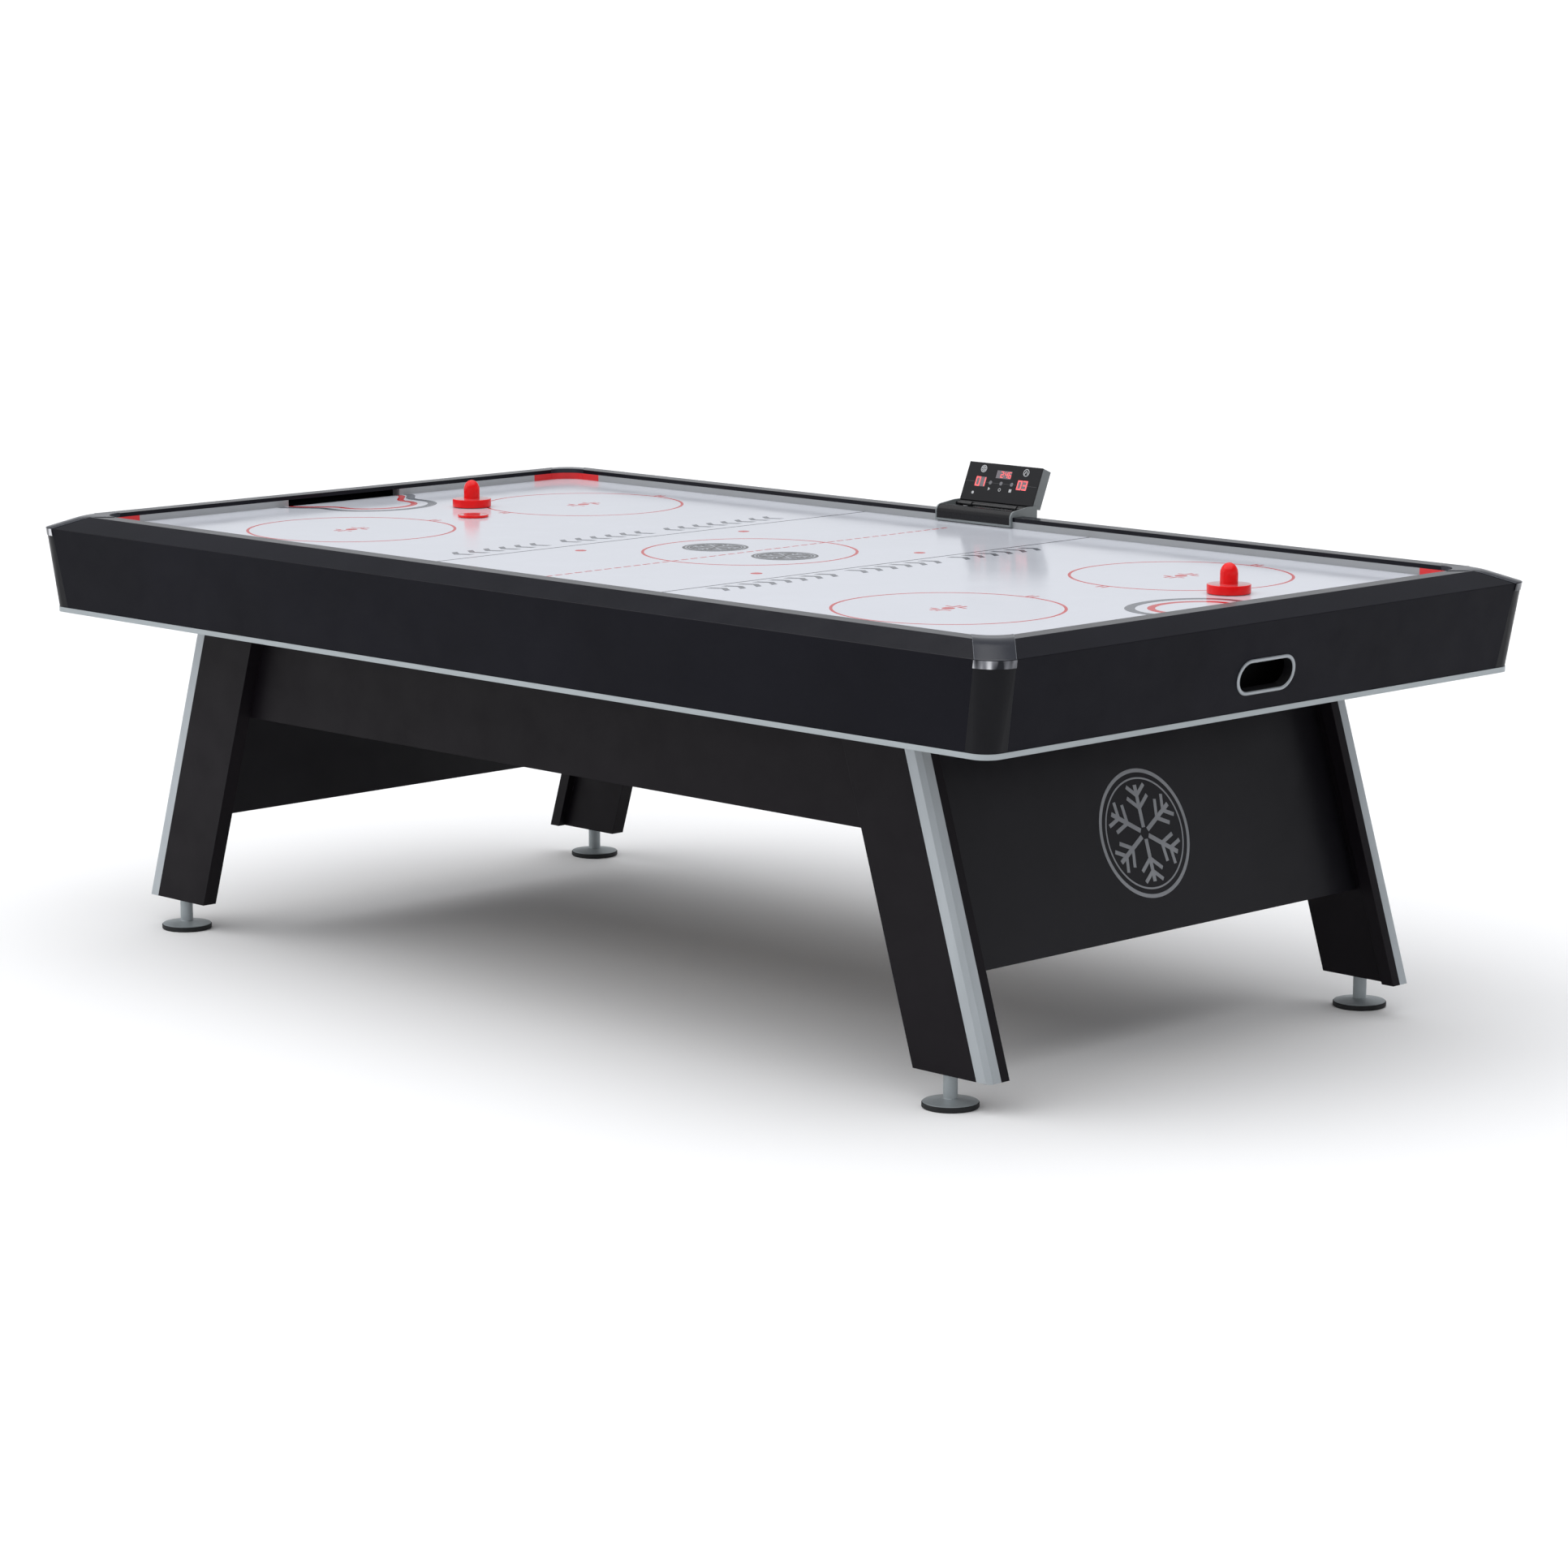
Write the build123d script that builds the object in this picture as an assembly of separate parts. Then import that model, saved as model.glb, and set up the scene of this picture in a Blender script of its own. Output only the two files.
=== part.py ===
"""Air hockey table of the 8 ft class: cabinet, air supply, goals, legs, scorer, pushers and puck.

Sizes are in millimetres. The table is laid out about its own centre line with heights measured from
the floor, then every piece is shifted along Y so that the origin is under the middle of its box.
"""

import math
import os

from build123d import *

# Cabinet, measured at the lower edge of the bevel, which is the widest place
HALF_LENGTH = 1220.0
HALF_WIDTH = 674.0
SURFACE_Z = 756.0
RAIL_TOP = SURFACE_Z + 20.0
WALL_TOP = SURFACE_Z + 12.4
BEVEL_EDGE = SURFACE_Z - 2.0
FLAT_WIDTH = 33.0
BEVEL_WIDTH = 51.0
RAIL_WIDTH = FLAT_WIDTH + BEVEL_WIDTH
FIELD_X = HALF_LENGTH - RAIL_WIDTH
FIELD_Y = HALF_WIDTH - RAIL_WIDTH

# Aprons lean inward towards the bottom, more at the ends than along the sides
APRON_BOTTOM = SURFACE_Z - 149.0
END_TAPER = 29.0
SIDE_TAPER = 12.0
BOARD = 18.0
TRIM_H = 9.0
TRIM_PROUD = 1.0
CORNER_ARM = 46.0
TOP_RADIUS = 45.0
BOTTOM_RADIUS = 30.0
INNER_RADIUS = 44.0

# Corner caps and the bright band under each
CAP_PROUD = 0.8
CREASE_R = 18.0
BAND_H = 13.0
BAND_PROUD = 1.5

# Play field, wall liners and the air box
FIELD_T = 12.0
LINER_T = 20.0
BUMPER_REACH = 92.0
SEAM = 0.6
PLENUM_X = 1108.0
PLENUM_Y = 600.0
PLENUM_DEPTH = 48.0
PLENUM_FLOOR_T = 6.0
PLENUM_WALL_T = 28.0
RIB_T = 20.0
RIB_COUNT = 5
PLENUM_BOTTOM = SURFACE_Z - FIELD_T - PLENUM_DEPTH - PLENUM_FLOOR_T
AIR_PORT_R = 62.0

# Goals and puck returns
GOAL_HALF = 140.0
GOAL_PLATE = 3.0
GOAL_FLOOR_Z = SURFACE_Z - 131.0
GOAL_SLACK = 0.6
SLOT_ROOF = 5.4
RETURN_LENGTH = 132.0
RETURN_HEIGHT = 48.0
RETURN_DROP = 92.0
RETURN_Y = -14.0
BEZEL_RIM = 6.5
BEZEL_PROUD = 2.5
BEZEL_SLEEVE = 2.5

# Legs lean outward towards the floor along the table's length
LEG_BOTTOM = 54.0
LEG_TOP = SURFACE_Z - 106.0
LEG_END_X = 1086.0
LEG_FACE_Y = 535.0
LEG_LEAN = 0.3118
LEG_WIDTH = 168.0
LEG_T = 29.0
LIP_X = 25.0
LIP_DEPTH = 46.0
TRIM_FACE = 29.0
TRIM_END = 27.0
TRIM_CHAMFER = 8.0
TRIM_T = 3.0
END_PANEL_RECESS = 50.0
END_PANEL_BOTTOM = SURFACE_Z - 547.0
SIDE_PANEL_BOTTOM = SURFACE_Z - 335.0
BEAM_X = (760.0, 880.0)
BOLT_HEIGHTS = (SURFACE_Z - 150.0, SURFACE_Z - 260.0)
BOLT_INSET = 104.0
BOLT_R = 4.0
BOLT_CLEARANCE = 0.1
BOLT_TIP = LEG_FACE_Y - 6.0

# Levelling feet
FOOT_X = 988.0
FOOT_Y = 521.0
FOOT_R = 46.5
STEM_R = 11.7
STEM_CLEARANCE = 0.05
STEM_TOP = LEG_BOTTOM + 45.0
FOOT_TRAVEL = 20.0
PAD_H = 9.0
CONE_R = 45.0
CONE_RIM = 1.0
CONE_H = 5.5

# Blower under the air box
BLOWER_R = 80.0
BLOWER_WALL = 3.0
BLOWER_H = 66.0
FLANGE_REACH = 18.0
FLANGE_T = 4.0
MOTOR_R = 34.0
MOTOR_H = 30.0
SPIDER_T = 3.0
SPIDER_W = 14.0
IMPELLER_R = 72.0
SHAFT_R = 4.0
HUB_R = 13.0
WHEEL_T = 3.0
BLADES = 18
BLADE = (26.0, 1.6, 17.0)
BLADE_SWEEP = 35.0
GUARD_T = 2.0
GUARD_RINGS = (20.0, 38.0, 56.0)

# Power inlet and switch under the air box
POWER_X = 330.0
POWER_Y = 520.0
POWER_SIZE = (84.0, 40.0, 34.0)
SOCKET_SIZE = (26.0, 18.0, 16.0)
SOCKET_OFFSET = -20.0
ROCKER_OFFSET = 22.0
ROCKER_SIZE = (14.0, 20.0, 9.0)
ROCKER_TILT = 10.0
ROCKER_HEIGHT = 5.0
TRUNNION_R = 1.5

# Scorer: the display leans back on a pin between two side plates
SCORER_HALF = 93.0
SIDE_PLATE_T = 3.0
DISPLAY_HALF = 92.5
DISPLAY_H = 75.0
DISPLAY_T = 24.0
DISPLAY_LEAN = 22.8
DISPLAY_FOOT = (648.0, SURFACE_Z + 36.5)
PIVOT = (640.0, SURFACE_Z + 29.5)
PIN_R = 3.2
PIN_CLEARANCE = 0.05
BASE_TOP = SURFACE_Z + 24.0
BASE_BACK = 657.0
CHEEK_TOP = SURFACE_Z + 36.5
NOSE_R = 14.0
NOSE_Z = SURFACE_Z + 17.0
NOSE_PROUD = 5.0
SKIN_T = 0.8
LIP_Z = (SURFACE_Z + 2.0, SURFACE_Z + 6.0)
LEAF_FOOT = (644.6, SURFACE_Z + 26.3)
LEAF_T = 3.0
LUG_R = 5.0
LUG_X = 57.0
LUG_W = 10.0
FACE_T = 2.5
SHELL_T = 2.5
BOARD_DEPTH = 12.0
LENS_SLACK = 0.4
BUTTON_R = 4.0
BUTTON_ROW = 37.0
BUTTON_X = (-27.0, 0.0, 27.0)
BUTTON_PROUD = 0.8
WINDOWS = ((-53.5, 38.0, 27.0, 20.0), (0.5, 55.0, 39.0, 16.5), (52.5, 38.0, 27.0, 20.0))

# Pushers and puck, which float just above the play surface
GAP = 0.3
PUSHER_R = 37.2
PUSHER_BASE_H = 15.8
PUSHER_H = 51.8
PUSHER_WALL = 3.8
KNOB_R = 15.3
KNOB_STRAIGHT = 33.5
FELT_T = 1.5
FELT_W = 8.0
PUSHER_LEFT = (-883.0, 110.0)
PUSHER_RIGHT = (966.0, 174.0)
PUCK_R = 29.0
PUCK_T = 4.6
PUCK_AT = (-752.5, 0.0)

LEAN = math.radians(DISPLAY_LEAN)
BACK_Y = DISPLAY_FOOT[0] + DISPLAY_H * math.sin(LEAN) + DISPLAY_T * math.cos(LEAN)
FRONT_Y = HALF_WIDTH + BAND_PROUD
ORIGIN_Y = (BACK_Y - FRONT_Y) / 2

made = {}


def box(x, y, z):
    """A block from three (low, high) pairs."""
    size = [high - low for low, high in (x, y, z)]
    middle = [(high + low) / 2 for low, high in (x, y, z)]
    return Pos(*middle) * Box(*size)


def prism_x(points, x0, x1):
    """A (y, z) outline swept along X."""
    outline = [(x0, y, z) for y, z in points]
    return Solid.extrude(Face(Wire.make_polygon(outline)), Vector(x1 - x0, 0, 0))


def prism_y(points, y0, y1):
    """An (x, z) outline swept along Y."""
    outline = [(x, y0, z) for x, z in points]
    return Solid.extrude(Face(Wire.make_polygon(outline)), Vector(0, y1 - y0, 0))


def prism_z(points, z0, z1):
    """An (x, y) outline swept along Z."""
    outline = [(x, y, z0) for x, y in points]
    return Solid.extrude(Face(Wire.make_polygon(outline)), Vector(0, 0, z1 - z0))


def rounded_slab(half_x, half_y, radius, z0, z1):
    """A flat slab with rounded corners in plan."""
    return extrude(Pos(0, 0, z0) * RectangleRounded(2 * half_x, 2 * half_y, radius), z1 - z0)


def to_corner(shape, sx, sy):
    """Mirrors a piece made for the +X +Y corner into another corner."""
    if sx < 0:
        shape = shape.mirror(Plane.YZ)
    if sy < 0:
        shape = shape.mirror(Plane.XZ)
    return shape


def corners(shape):
    """The piece made for the +X +Y corner, in all four corners."""
    return [to_corner(shape, sx, sy) for sx in (-1, 1) for sy in (-1, 1)]


def both_ends(shape):
    return [shape.mirror(Plane.YZ), shape]


def both_sides(shape):
    return [shape.mirror(Plane.XZ), shape]


def keep(name, shapes):
    """Stores one node, a single solid or a group of separate ones, shifted to the origin."""
    group = shapes if isinstance(shapes, list) else [shapes]
    solids = [solid for shape in group for solid in shape.solids()]
    made[name] = Compound(children=[Pos(0, -ORIGIN_Y, 0) * solid for solid in solids])


# ---- cabinet top -----------------------------------------------------------------------------


def bevel_z(distance):
    """Height of the bevel at a distance in from the cabinet's widest place."""
    return BEVEL_EDGE + (RAIL_TOP - BEVEL_EDGE) * distance / BEVEL_WIDTH


def rail_profile(half):
    """Rail section as (outward, height): the inner step sits over the wall liner."""
    inner = half - RAIL_WIDTH
    return [
        (inner, WALL_TOP),
        (inner, RAIL_TOP),
        (half - BEVEL_WIDTH, RAIL_TOP),
        (half, BEVEL_EDGE),
        (inner + LINER_T, BEVEL_EDGE),
        (inner + LINER_T, WALL_TOP),
    ]


def make_rails():
    inner_x = FIELD_X - CORNER_ARM
    outer_x = HALF_LENGTH - CORNER_ARM
    plan = [(-inner_x, FIELD_Y), (inner_x, FIELD_Y), (outer_x, HALF_WIDTH), (-outer_x, HALF_WIDTH)]
    side = prism_x(rail_profile(HALF_WIDTH), -outer_x, outer_x) & prism_z(plan, 0, RAIL_TOP + 1)
    keep("side_rail_front", side.mirror(Plane.XZ))
    keep("side_rail_back", side)

    inner_y = FIELD_Y - CORNER_ARM
    outer_y = HALF_WIDTH - CORNER_ARM
    plan = [(FIELD_X, -inner_y), (FIELD_X, inner_y), (HALF_LENGTH, outer_y), (HALF_LENGTH, -outer_y)]
    end = prism_y(rail_profile(HALF_LENGTH), -outer_y, outer_y) & prism_z(plan, 0, RAIL_TOP + 1)
    step = FIELD_X + LINER_T
    roof = SLOT_ROOF
    drop_outer = HALF_LENGTH - BOARD
    drop_inner = HALF_LENGTH - (WALL_TOP + roof - BEVEL_EDGE) * BEVEL_WIDTH / (RAIL_TOP - BEVEL_EDGE)
    cavity = [
        (step - 5, BEVEL_EDGE - 1),
        (step - 5, WALL_TOP),
        (drop_inner, WALL_TOP),
        (drop_outer, bevel_z(BOARD) - roof),
        (drop_outer, BEVEL_EDGE - 1),
    ]
    end = end - prism_y(cavity, -GOAL_HALF, GOAL_HALF)
    keep("end_rail_left", end.mirror(Plane.YZ))
    keep("end_rail_right", end)


def make_liners():
    reach = BUMPER_REACH
    z = (SURFACE_Z, WALL_TOP)
    y = (FIELD_Y, FIELD_Y + LINER_T)
    side = box((-FIELD_X + reach, FIELD_X - reach), y, z)
    keep("side_liners", both_sides(side))
    half = box(
        (FIELD_X, FIELD_X + LINER_T), (GOAL_HALF, FIELD_Y - reach), (SURFACE_Z - FIELD_T, WALL_TOP)
    )
    keep("end_liners", corners(half))

    ring = rounded_slab(FIELD_X + LINER_T, FIELD_Y + LINER_T, INNER_RADIUS + LINER_T, *z)
    ring -= rounded_slab(FIELD_X, FIELD_Y, INNER_RADIUS, SURFACE_Z - 1, WALL_TOP + 1)
    zone = box(
        (FIELD_X - reach, FIELD_X + LINER_T + 1), (FIELD_Y - reach, FIELD_Y + LINER_T + 1), z
    )
    bumper = ring & zone
    seam_x = FIELD_X - INNER_RADIUS
    seam_y = FIELD_Y - INNER_RADIUS
    bumper -= box((seam_x - SEAM, seam_x), (FIELD_Y - 1, FIELD_Y + SEAM), z)
    bumper -= box((FIELD_X - 1, FIELD_X + SEAM), (seam_y - SEAM, seam_y), z)
    keep("corner_bumpers", corners(bumper))


def make_caps():
    """A strip across each corner, rounded where the flat top turns into the bevel."""
    low = Pos(0, 0, BEVEL_EDGE)
    high = Pos(0, 0, RAIL_TOP + CAP_PROUD)
    out_x = HALF_LENGTH + CAP_PROUD
    out_y = HALF_WIDTH + CAP_PROUD
    foot = low * RectangleRounded(2 * out_x, 2 * out_y, TOP_RADIUS + CAP_PROUD)
    in_x = out_x - BEVEL_WIDTH
    in_y = out_y - BEVEL_WIDTH
    crown = high * RectangleRounded(2 * in_x, 2 * in_y, TOP_RADIUS)
    block = loft([foot, crown], ruled=True)
    block -= rounded_slab(FIELD_X, FIELD_Y, INNER_RADIUS, WALL_TOP, RAIL_TOP + 5)
    liner = (FIELD_X + LINER_T, FIELD_Y + LINER_T, INNER_RADIUS + LINER_T)
    block -= rounded_slab(*liner, BEVEL_EDGE - 1, WALL_TOP)
    near = CORNER_ARM
    far = RAIL_WIDTH + 20
    strip = [
        (FIELD_X - near, FIELD_Y),
        (FIELD_X - near + far, FIELD_Y + far),
        (FIELD_X + far, FIELD_Y + far),
        (FIELD_X + far, FIELD_Y - near + far),
        (FIELD_X, FIELD_Y - near),
        (FIELD_X - near, FIELD_Y - near),
    ]
    cap = block & prism_z(strip, BEVEL_EDGE - 1, RAIL_TOP + 5)
    crease = [
        edge
        for edge in cap.edges()
        if edge.center().Z > RAIL_TOP
        and edge.center().X > FIELD_X + FLAT_WIDTH * 0.55
        and edge.center().Y > FIELD_Y + FLAT_WIDTH * 0.55
        and edge.length > CORNER_ARM * 0.3
    ]
    keep("corner_caps", corners(fillet(crease, CREASE_R)))


def corner_section(depth, out, thickness, z):
    """L-shaped plan of the +X +Y corner at a depth share down the apron, with a round outside."""
    x = HALF_LENGTH - END_TAPER * depth + out
    y = HALF_WIDTH - SIDE_TAPER * depth + out
    radius = TOP_RADIUS + (BOTTOM_RADIUS - TOP_RADIUS) * depth + out
    arm = CORNER_ARM + out
    inner = radius - thickness
    diagonal = math.sqrt(0.5)
    outer_mid = (x - radius + radius * diagonal, y - radius + radius * diagonal)
    inner_mid = (x - radius + inner * diagonal, y - radius + inner * diagonal)
    wire = Wire(
        [
            Line((x - arm, y, z), (x - radius, y, z)),
            ThreePointArc((x - radius, y, z), (*outer_mid, z), (x, y - radius, z)),
            Line((x, y - radius, z), (x, y - arm, z)),
            Line((x, y - arm, z), (x - thickness, y - arm, z)),
            Line((x - thickness, y - arm, z), (x - thickness, y - radius, z)),
            ThreePointArc(
                (x - thickness, y - radius, z), (*inner_mid, z), (x - radius, y - thickness, z)
            ),
            Line((x - radius, y - thickness, z), (x - arm, y - thickness, z)),
            Line((x - arm, y - thickness, z), (x - arm, y, z)),
        ]
    )
    return Face(wire)


def corner_piece(z0, z1, out, thickness):
    """A corner piece between two heights that follows the aprons' lean."""
    depths = [(BEVEL_EDGE - z) / (BEVEL_EDGE - APRON_BOTTOM) for z in (z0, z1)]
    sections = [corner_section(d, out, thickness, z) for d, z in zip(depths, (z0, z1))]
    return Solid.make_loft([section.outer_wire() for section in sections], ruled=True)


def board_between(top, bottom):
    """A board with flat faces between two (x low, x high, y low, y high) rectangles."""
    wires = []
    for (x0, x1, y0, y1), z in ((bottom, APRON_BOTTOM), (top, BEVEL_EDGE)):
        wires.append(Wire.make_polygon([(x0, y0, z), (x1, y0, z), (x1, y1, z), (x0, y1, z)]))
    return Solid.make_loft(wires, ruled=True)


def end_apron_plane(out=0.0):
    """Plane on the +X apron's outer face at the puck return: local x is +Y and local y is up."""
    fall = BEVEL_EDGE - APRON_BOTTOM
    normal = Vector(fall, 0, -END_TAPER).normalized()
    share = (BEVEL_EDGE - (SURFACE_Z - RETURN_DROP)) / fall
    face_x = HALF_LENGTH - END_TAPER * share
    place = Vector(face_x, RETURN_Y, SURFACE_Z - RETURN_DROP) + normal * out
    return Plane(origin=place, x_dir=(0, 1, 0), z_dir=normal)


def make_aprons():
    top_x = HALF_LENGTH - CORNER_ARM
    low_x = top_x - END_TAPER
    low_y = HALF_WIDTH - SIDE_TAPER
    side = board_between(
        (-top_x, top_x, HALF_WIDTH - BOARD, HALF_WIDTH), (-low_x, low_x, low_y - BOARD, low_y)
    )
    keep("side_apron_front", side.mirror(Plane.XZ))
    keep("side_apron_back", side)

    top_y = HALF_WIDTH - CORNER_ARM
    low_y = top_y - SIDE_TAPER
    low_x = HALF_LENGTH - END_TAPER
    end = board_between(
        (HALF_LENGTH - BOARD, HALF_LENGTH, -top_y, top_y), (low_x - BOARD, low_x, -low_y, low_y)
    )
    sleeve = 2 * BEZEL_SLEEVE
    hole = end_apron_plane(5) * SlotOverall(RETURN_LENGTH + sleeve, RETURN_HEIGHT + sleeve)
    end -= extrude(hole, -BOARD - 12)
    keep("end_apron_left", end.mirror(Plane.YZ))
    keep("end_apron_right", end)

    rim = 2 * BEZEL_RIM
    ring = end_apron_plane() * SlotOverall(RETURN_LENGTH + rim, RETURN_HEIGHT + rim)
    tube = end_apron_plane() * SlotOverall(RETURN_LENGTH + sleeve, RETURN_HEIGHT + sleeve)
    bore = end_apron_plane(10) * SlotOverall(RETURN_LENGTH, RETURN_HEIGHT)
    bezel = extrude(ring, BEZEL_PROUD) + extrude(tube, -BOARD)
    rims = bezel.faces().filter_by(end_apron_plane()).sort_by(Axis.X)[-1]
    bezel = chamfer(rims.edges(), BEZEL_PROUD * 0.45)
    bezel -= extrude(bore, -BOARD - 20)
    keep("return_bezels", both_ends(bezel))

    keep("corner_posts", corners(corner_piece(APRON_BOTTOM, BEVEL_EDGE, 0, BOARD)))
    band = corner_piece(BEVEL_EDGE - BAND_H, BEVEL_EDGE, BAND_PROUD, BAND_PROUD)
    keep("corner_bands", corners(band))


def make_trims():
    low_x = HALF_LENGTH - END_TAPER
    low_y = HALF_WIDTH - SIDE_TAPER
    z = (APRON_BOTTOM - TRIM_H, APRON_BOTTOM)
    out = TRIM_PROUD
    ring = rounded_slab(low_x + out, low_y + out, BOTTOM_RADIUS + out, *z)
    ring -= rounded_slab(low_x - BOARD, low_y - BOARD, BOTTOM_RADIUS - BOARD, z[0] - 1, z[1] + 1)
    split_y = low_y - CORNER_ARM
    reach_x = HALF_LENGTH + 10
    sides = [ring & box((-reach_x, reach_x), y, z) for y in ((-800, -split_y), (split_y, 800))]
    keep("side_trims", sides)
    ends = [ring & box(x, (-split_y, split_y), z) for x in ((-reach_x, 0), (0, reach_x))]
    keep("end_trims", ends)


# ---- play field, air box and goals --------------------------------------------------------------


def make_field():
    plan = (FIELD_X, FIELD_Y + LINER_T, INNER_RADIUS)
    keep("playfield", rounded_slab(*plan, SURFACE_Z - FIELD_T, SURFACE_Z))

    roof = SURFACE_Z - FIELD_T
    floor = roof - PLENUM_DEPTH
    wall = PLENUM_WALL_T
    x_out, y_out = PLENUM_X, PLENUM_Y
    long_wall = box((-x_out, x_out), (y_out - wall, y_out), (floor, roof))
    end_wall = box((x_out - wall, x_out), (-y_out + wall, y_out - wall), (floor, roof))
    battens = both_sides(long_wall) + both_ends(end_wall)
    step = 2 * (x_out - wall) / (RIB_COUNT + 1)
    for index in range(RIB_COUNT):
        x = (index - (RIB_COUNT - 1) / 2) * step
        for y in ((-y_out + wall + 40, -90), (90, y_out - wall - 40)):
            battens.append(box((x - RIB_T / 2, x + RIB_T / 2), y, (floor, roof)))
    keep("plenum_frame", battens)
    sheet = box((-x_out, x_out), (-y_out, y_out), (floor - PLENUM_FLOOR_T, floor))
    sheet -= Pos(0, 0, floor - PLENUM_FLOOR_T / 2) * Cylinder(AIR_PORT_R, 2 * PLENUM_FLOOR_T)
    keep("plenum_floor", sheet)


def make_goals():
    """A catch box behind each goal slot, open at the top and towards the puck return."""
    inner = FIELD_X - 10
    roof = SURFACE_Z - FIELD_T - 1
    fall = BEVEL_EDGE - APRON_BOTTOM
    reach = [
        HALF_LENGTH - BOARD - GOAL_SLACK - END_TAPER * (BEVEL_EDGE - z) / fall
        for z in (GOAL_FLOOR_Z, roof)
    ]
    side = [(inner, GOAL_FLOOR_Z), (reach[0], GOAL_FLOOR_Z), (reach[1], roof), (inner, roof)]
    wall = (GOAL_HALF + GOAL_PLATE, GOAL_HALF + 2 * GOAL_PLATE)
    left = prism_y(side, -wall[1], -wall[0])
    right = prism_y(side, wall[0], wall[1])
    floor_z = (GOAL_FLOOR_Z, GOAL_FLOOR_Z + GOAL_PLATE)
    floor = box((inner, reach[0]), (-wall[0], wall[0]), floor_z)
    back = box((inner, inner + GOAL_PLATE), (-wall[0], wall[0]), (GOAL_FLOOR_Z, roof))
    tray = left + right + floor + back
    keep("goal_box_left", tray.mirror(Plane.YZ))
    keep("goal_box_right", tray)

    eye = box((FIELD_X + 8, FIELD_X + 24), (wall[1], wall[1] + 12), (roof - 34, roof - 14))
    keep("goal_sensors", corners(eye))


# ---- blower and power ------------------------------------------------------------------------


def make_blower():
    top = PLENUM_BOTTOM
    bottom = top - BLOWER_H
    middle = (top + bottom) / 2
    shell = Pos(0, 0, middle) * Cylinder(BLOWER_R, BLOWER_H)
    shell -= Pos(0, 0, middle) * Cylinder(BLOWER_R - BLOWER_WALL, BLOWER_H + 2)
    flange = Pos(0, 0, top - FLANGE_T / 2) * (
        Cylinder(BLOWER_R + FLANGE_REACH, FLANGE_T) - Cylinder(BLOWER_R - 1, FLANGE_T + 1)
    )
    spider_z = bottom + SPIDER_T / 2
    spider = Pos(0, 0, spider_z) * Cylinder(MOTOR_R + 4, SPIDER_T)
    for turn in range(3):
        arm = Pos((BLOWER_R - 1) / 2, 0, spider_z) * Box(BLOWER_R - 1, SPIDER_W, SPIDER_T)
        spider += Rot(0, 0, 120 * turn) * arm
    keep("blower_housing", shell + flange + spider)

    motor_z = bottom + SPIDER_T
    motor_top = motor_z + MOTOR_H
    motor = Pos(0, 0, motor_z + MOTOR_H / 2) * Cylinder(MOTOR_R, MOTOR_H)
    shaft_top = top - 12
    shaft = Pos(0, 0, (motor_top + shaft_top) / 2) * Cylinder(SHAFT_R, shaft_top - motor_top)
    keep("blower_motor", motor + shaft)

    wheel_z = motor_top + 3
    wheel_top = wheel_z + WHEEL_T
    wheel = Pos(0, 0, wheel_z + WHEEL_T / 2) * Cylinder(IMPELLER_R, WHEEL_T)
    wheel += Pos(0, 0, wheel_top + 5) * Cylinder(HUB_R, 10)
    for index in range(BLADES):
        blade = Pos(IMPELLER_R - 14, 0, wheel_top + BLADE[2] / 2) * (
            Rot(0, 0, BLADE_SWEEP) * Box(*BLADE)
        )
        wheel += Rot(0, 0, 360 * index / BLADES) * blade
    wheel -= Pos(0, 0, wheel_z) * Cylinder(SHAFT_R + 0.05, 60)
    keep("blower_impeller", wheel)

    guard_z = bottom - GUARD_T / 2
    guard = Pos(0, 0, guard_z) * (Cylinder(BLOWER_R, GUARD_T) - Cylinder(BLOWER_R - 6, GUARD_T + 1))
    for radius in GUARD_RINGS:
        guard += Pos(0, 0, guard_z) * (Cylinder(radius, GUARD_T) - Cylinder(radius - 2.5, GUARD_T + 1))
    for turn in range(3):
        bar = Pos(0, 0, guard_z) * Box(2 * BLOWER_R - 8, 3, GUARD_T)
        guard += Rot(0, 0, 60 * turn + 30) * bar
    keep("blower_grille", guard)


def make_power():
    top = PLENUM_BOTTOM
    size_x, size_y, size_z = POWER_SIZE
    bottom = top - size_z
    case = Pos(POWER_X, POWER_Y, top - size_z / 2) * Box(*POWER_SIZE)
    case = fillet(case.edges().filter_by(Axis.Z), 3)
    socket_x, socket_y, socket_z = SOCKET_SIZE
    socket = Pos(POWER_X + SOCKET_OFFSET, POWER_Y, bottom + socket_z / 2 - 1)
    case -= socket * Box(socket_x, socket_y, socket_z + 2)
    rocker_x, rocker_y, rocker_z = ROCKER_SIZE
    pivot = Pos(POWER_X + ROCKER_OFFSET, POWER_Y, bottom + ROCKER_HEIGHT)
    case -= pivot * (Pos(0, 0, 1) * Box(rocker_x + 1, rocker_y + 4, 14))
    case -= pivot * (Rot(0, 90, 0) * Cylinder(TRUNNION_R + 0.05, rocker_x + 9))
    keep("power_inlet", case)

    paddle = Pos(0, 0, -1) * Box(rocker_x, rocker_y, rocker_z)
    paddle = fillet(paddle.edges().filter_by(Axis.X), 1.5)
    paddle += Rot(0, 90, 0) * Cylinder(TRUNNION_R, rocker_x + 8)
    keep("power_rocker", pivot * (Rot(-ROCKER_TILT, 0, 0) * paddle))


# ---- legs, panels and feet -----------------------------------------------------------------------


def leg_end(z):
    """X of the leg's outer end face at a height."""
    return LEG_END_X - LEG_LEAN * (z - LEG_BOTTOM)


def lean_prism(points, z0=LEG_BOTTOM, z1=LEG_TOP):
    """Sweeps (in from the end face, in from the side face) points up along the leg's lean."""
    outline = [(leg_end(z0) - u, LEG_FACE_Y - v, z0) for u, v in points]
    rise = z1 - z0
    return Solid.extrude(Face(Wire.make_polygon(outline)), Vector(-LEG_LEAN * rise, 0, rise))


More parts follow.
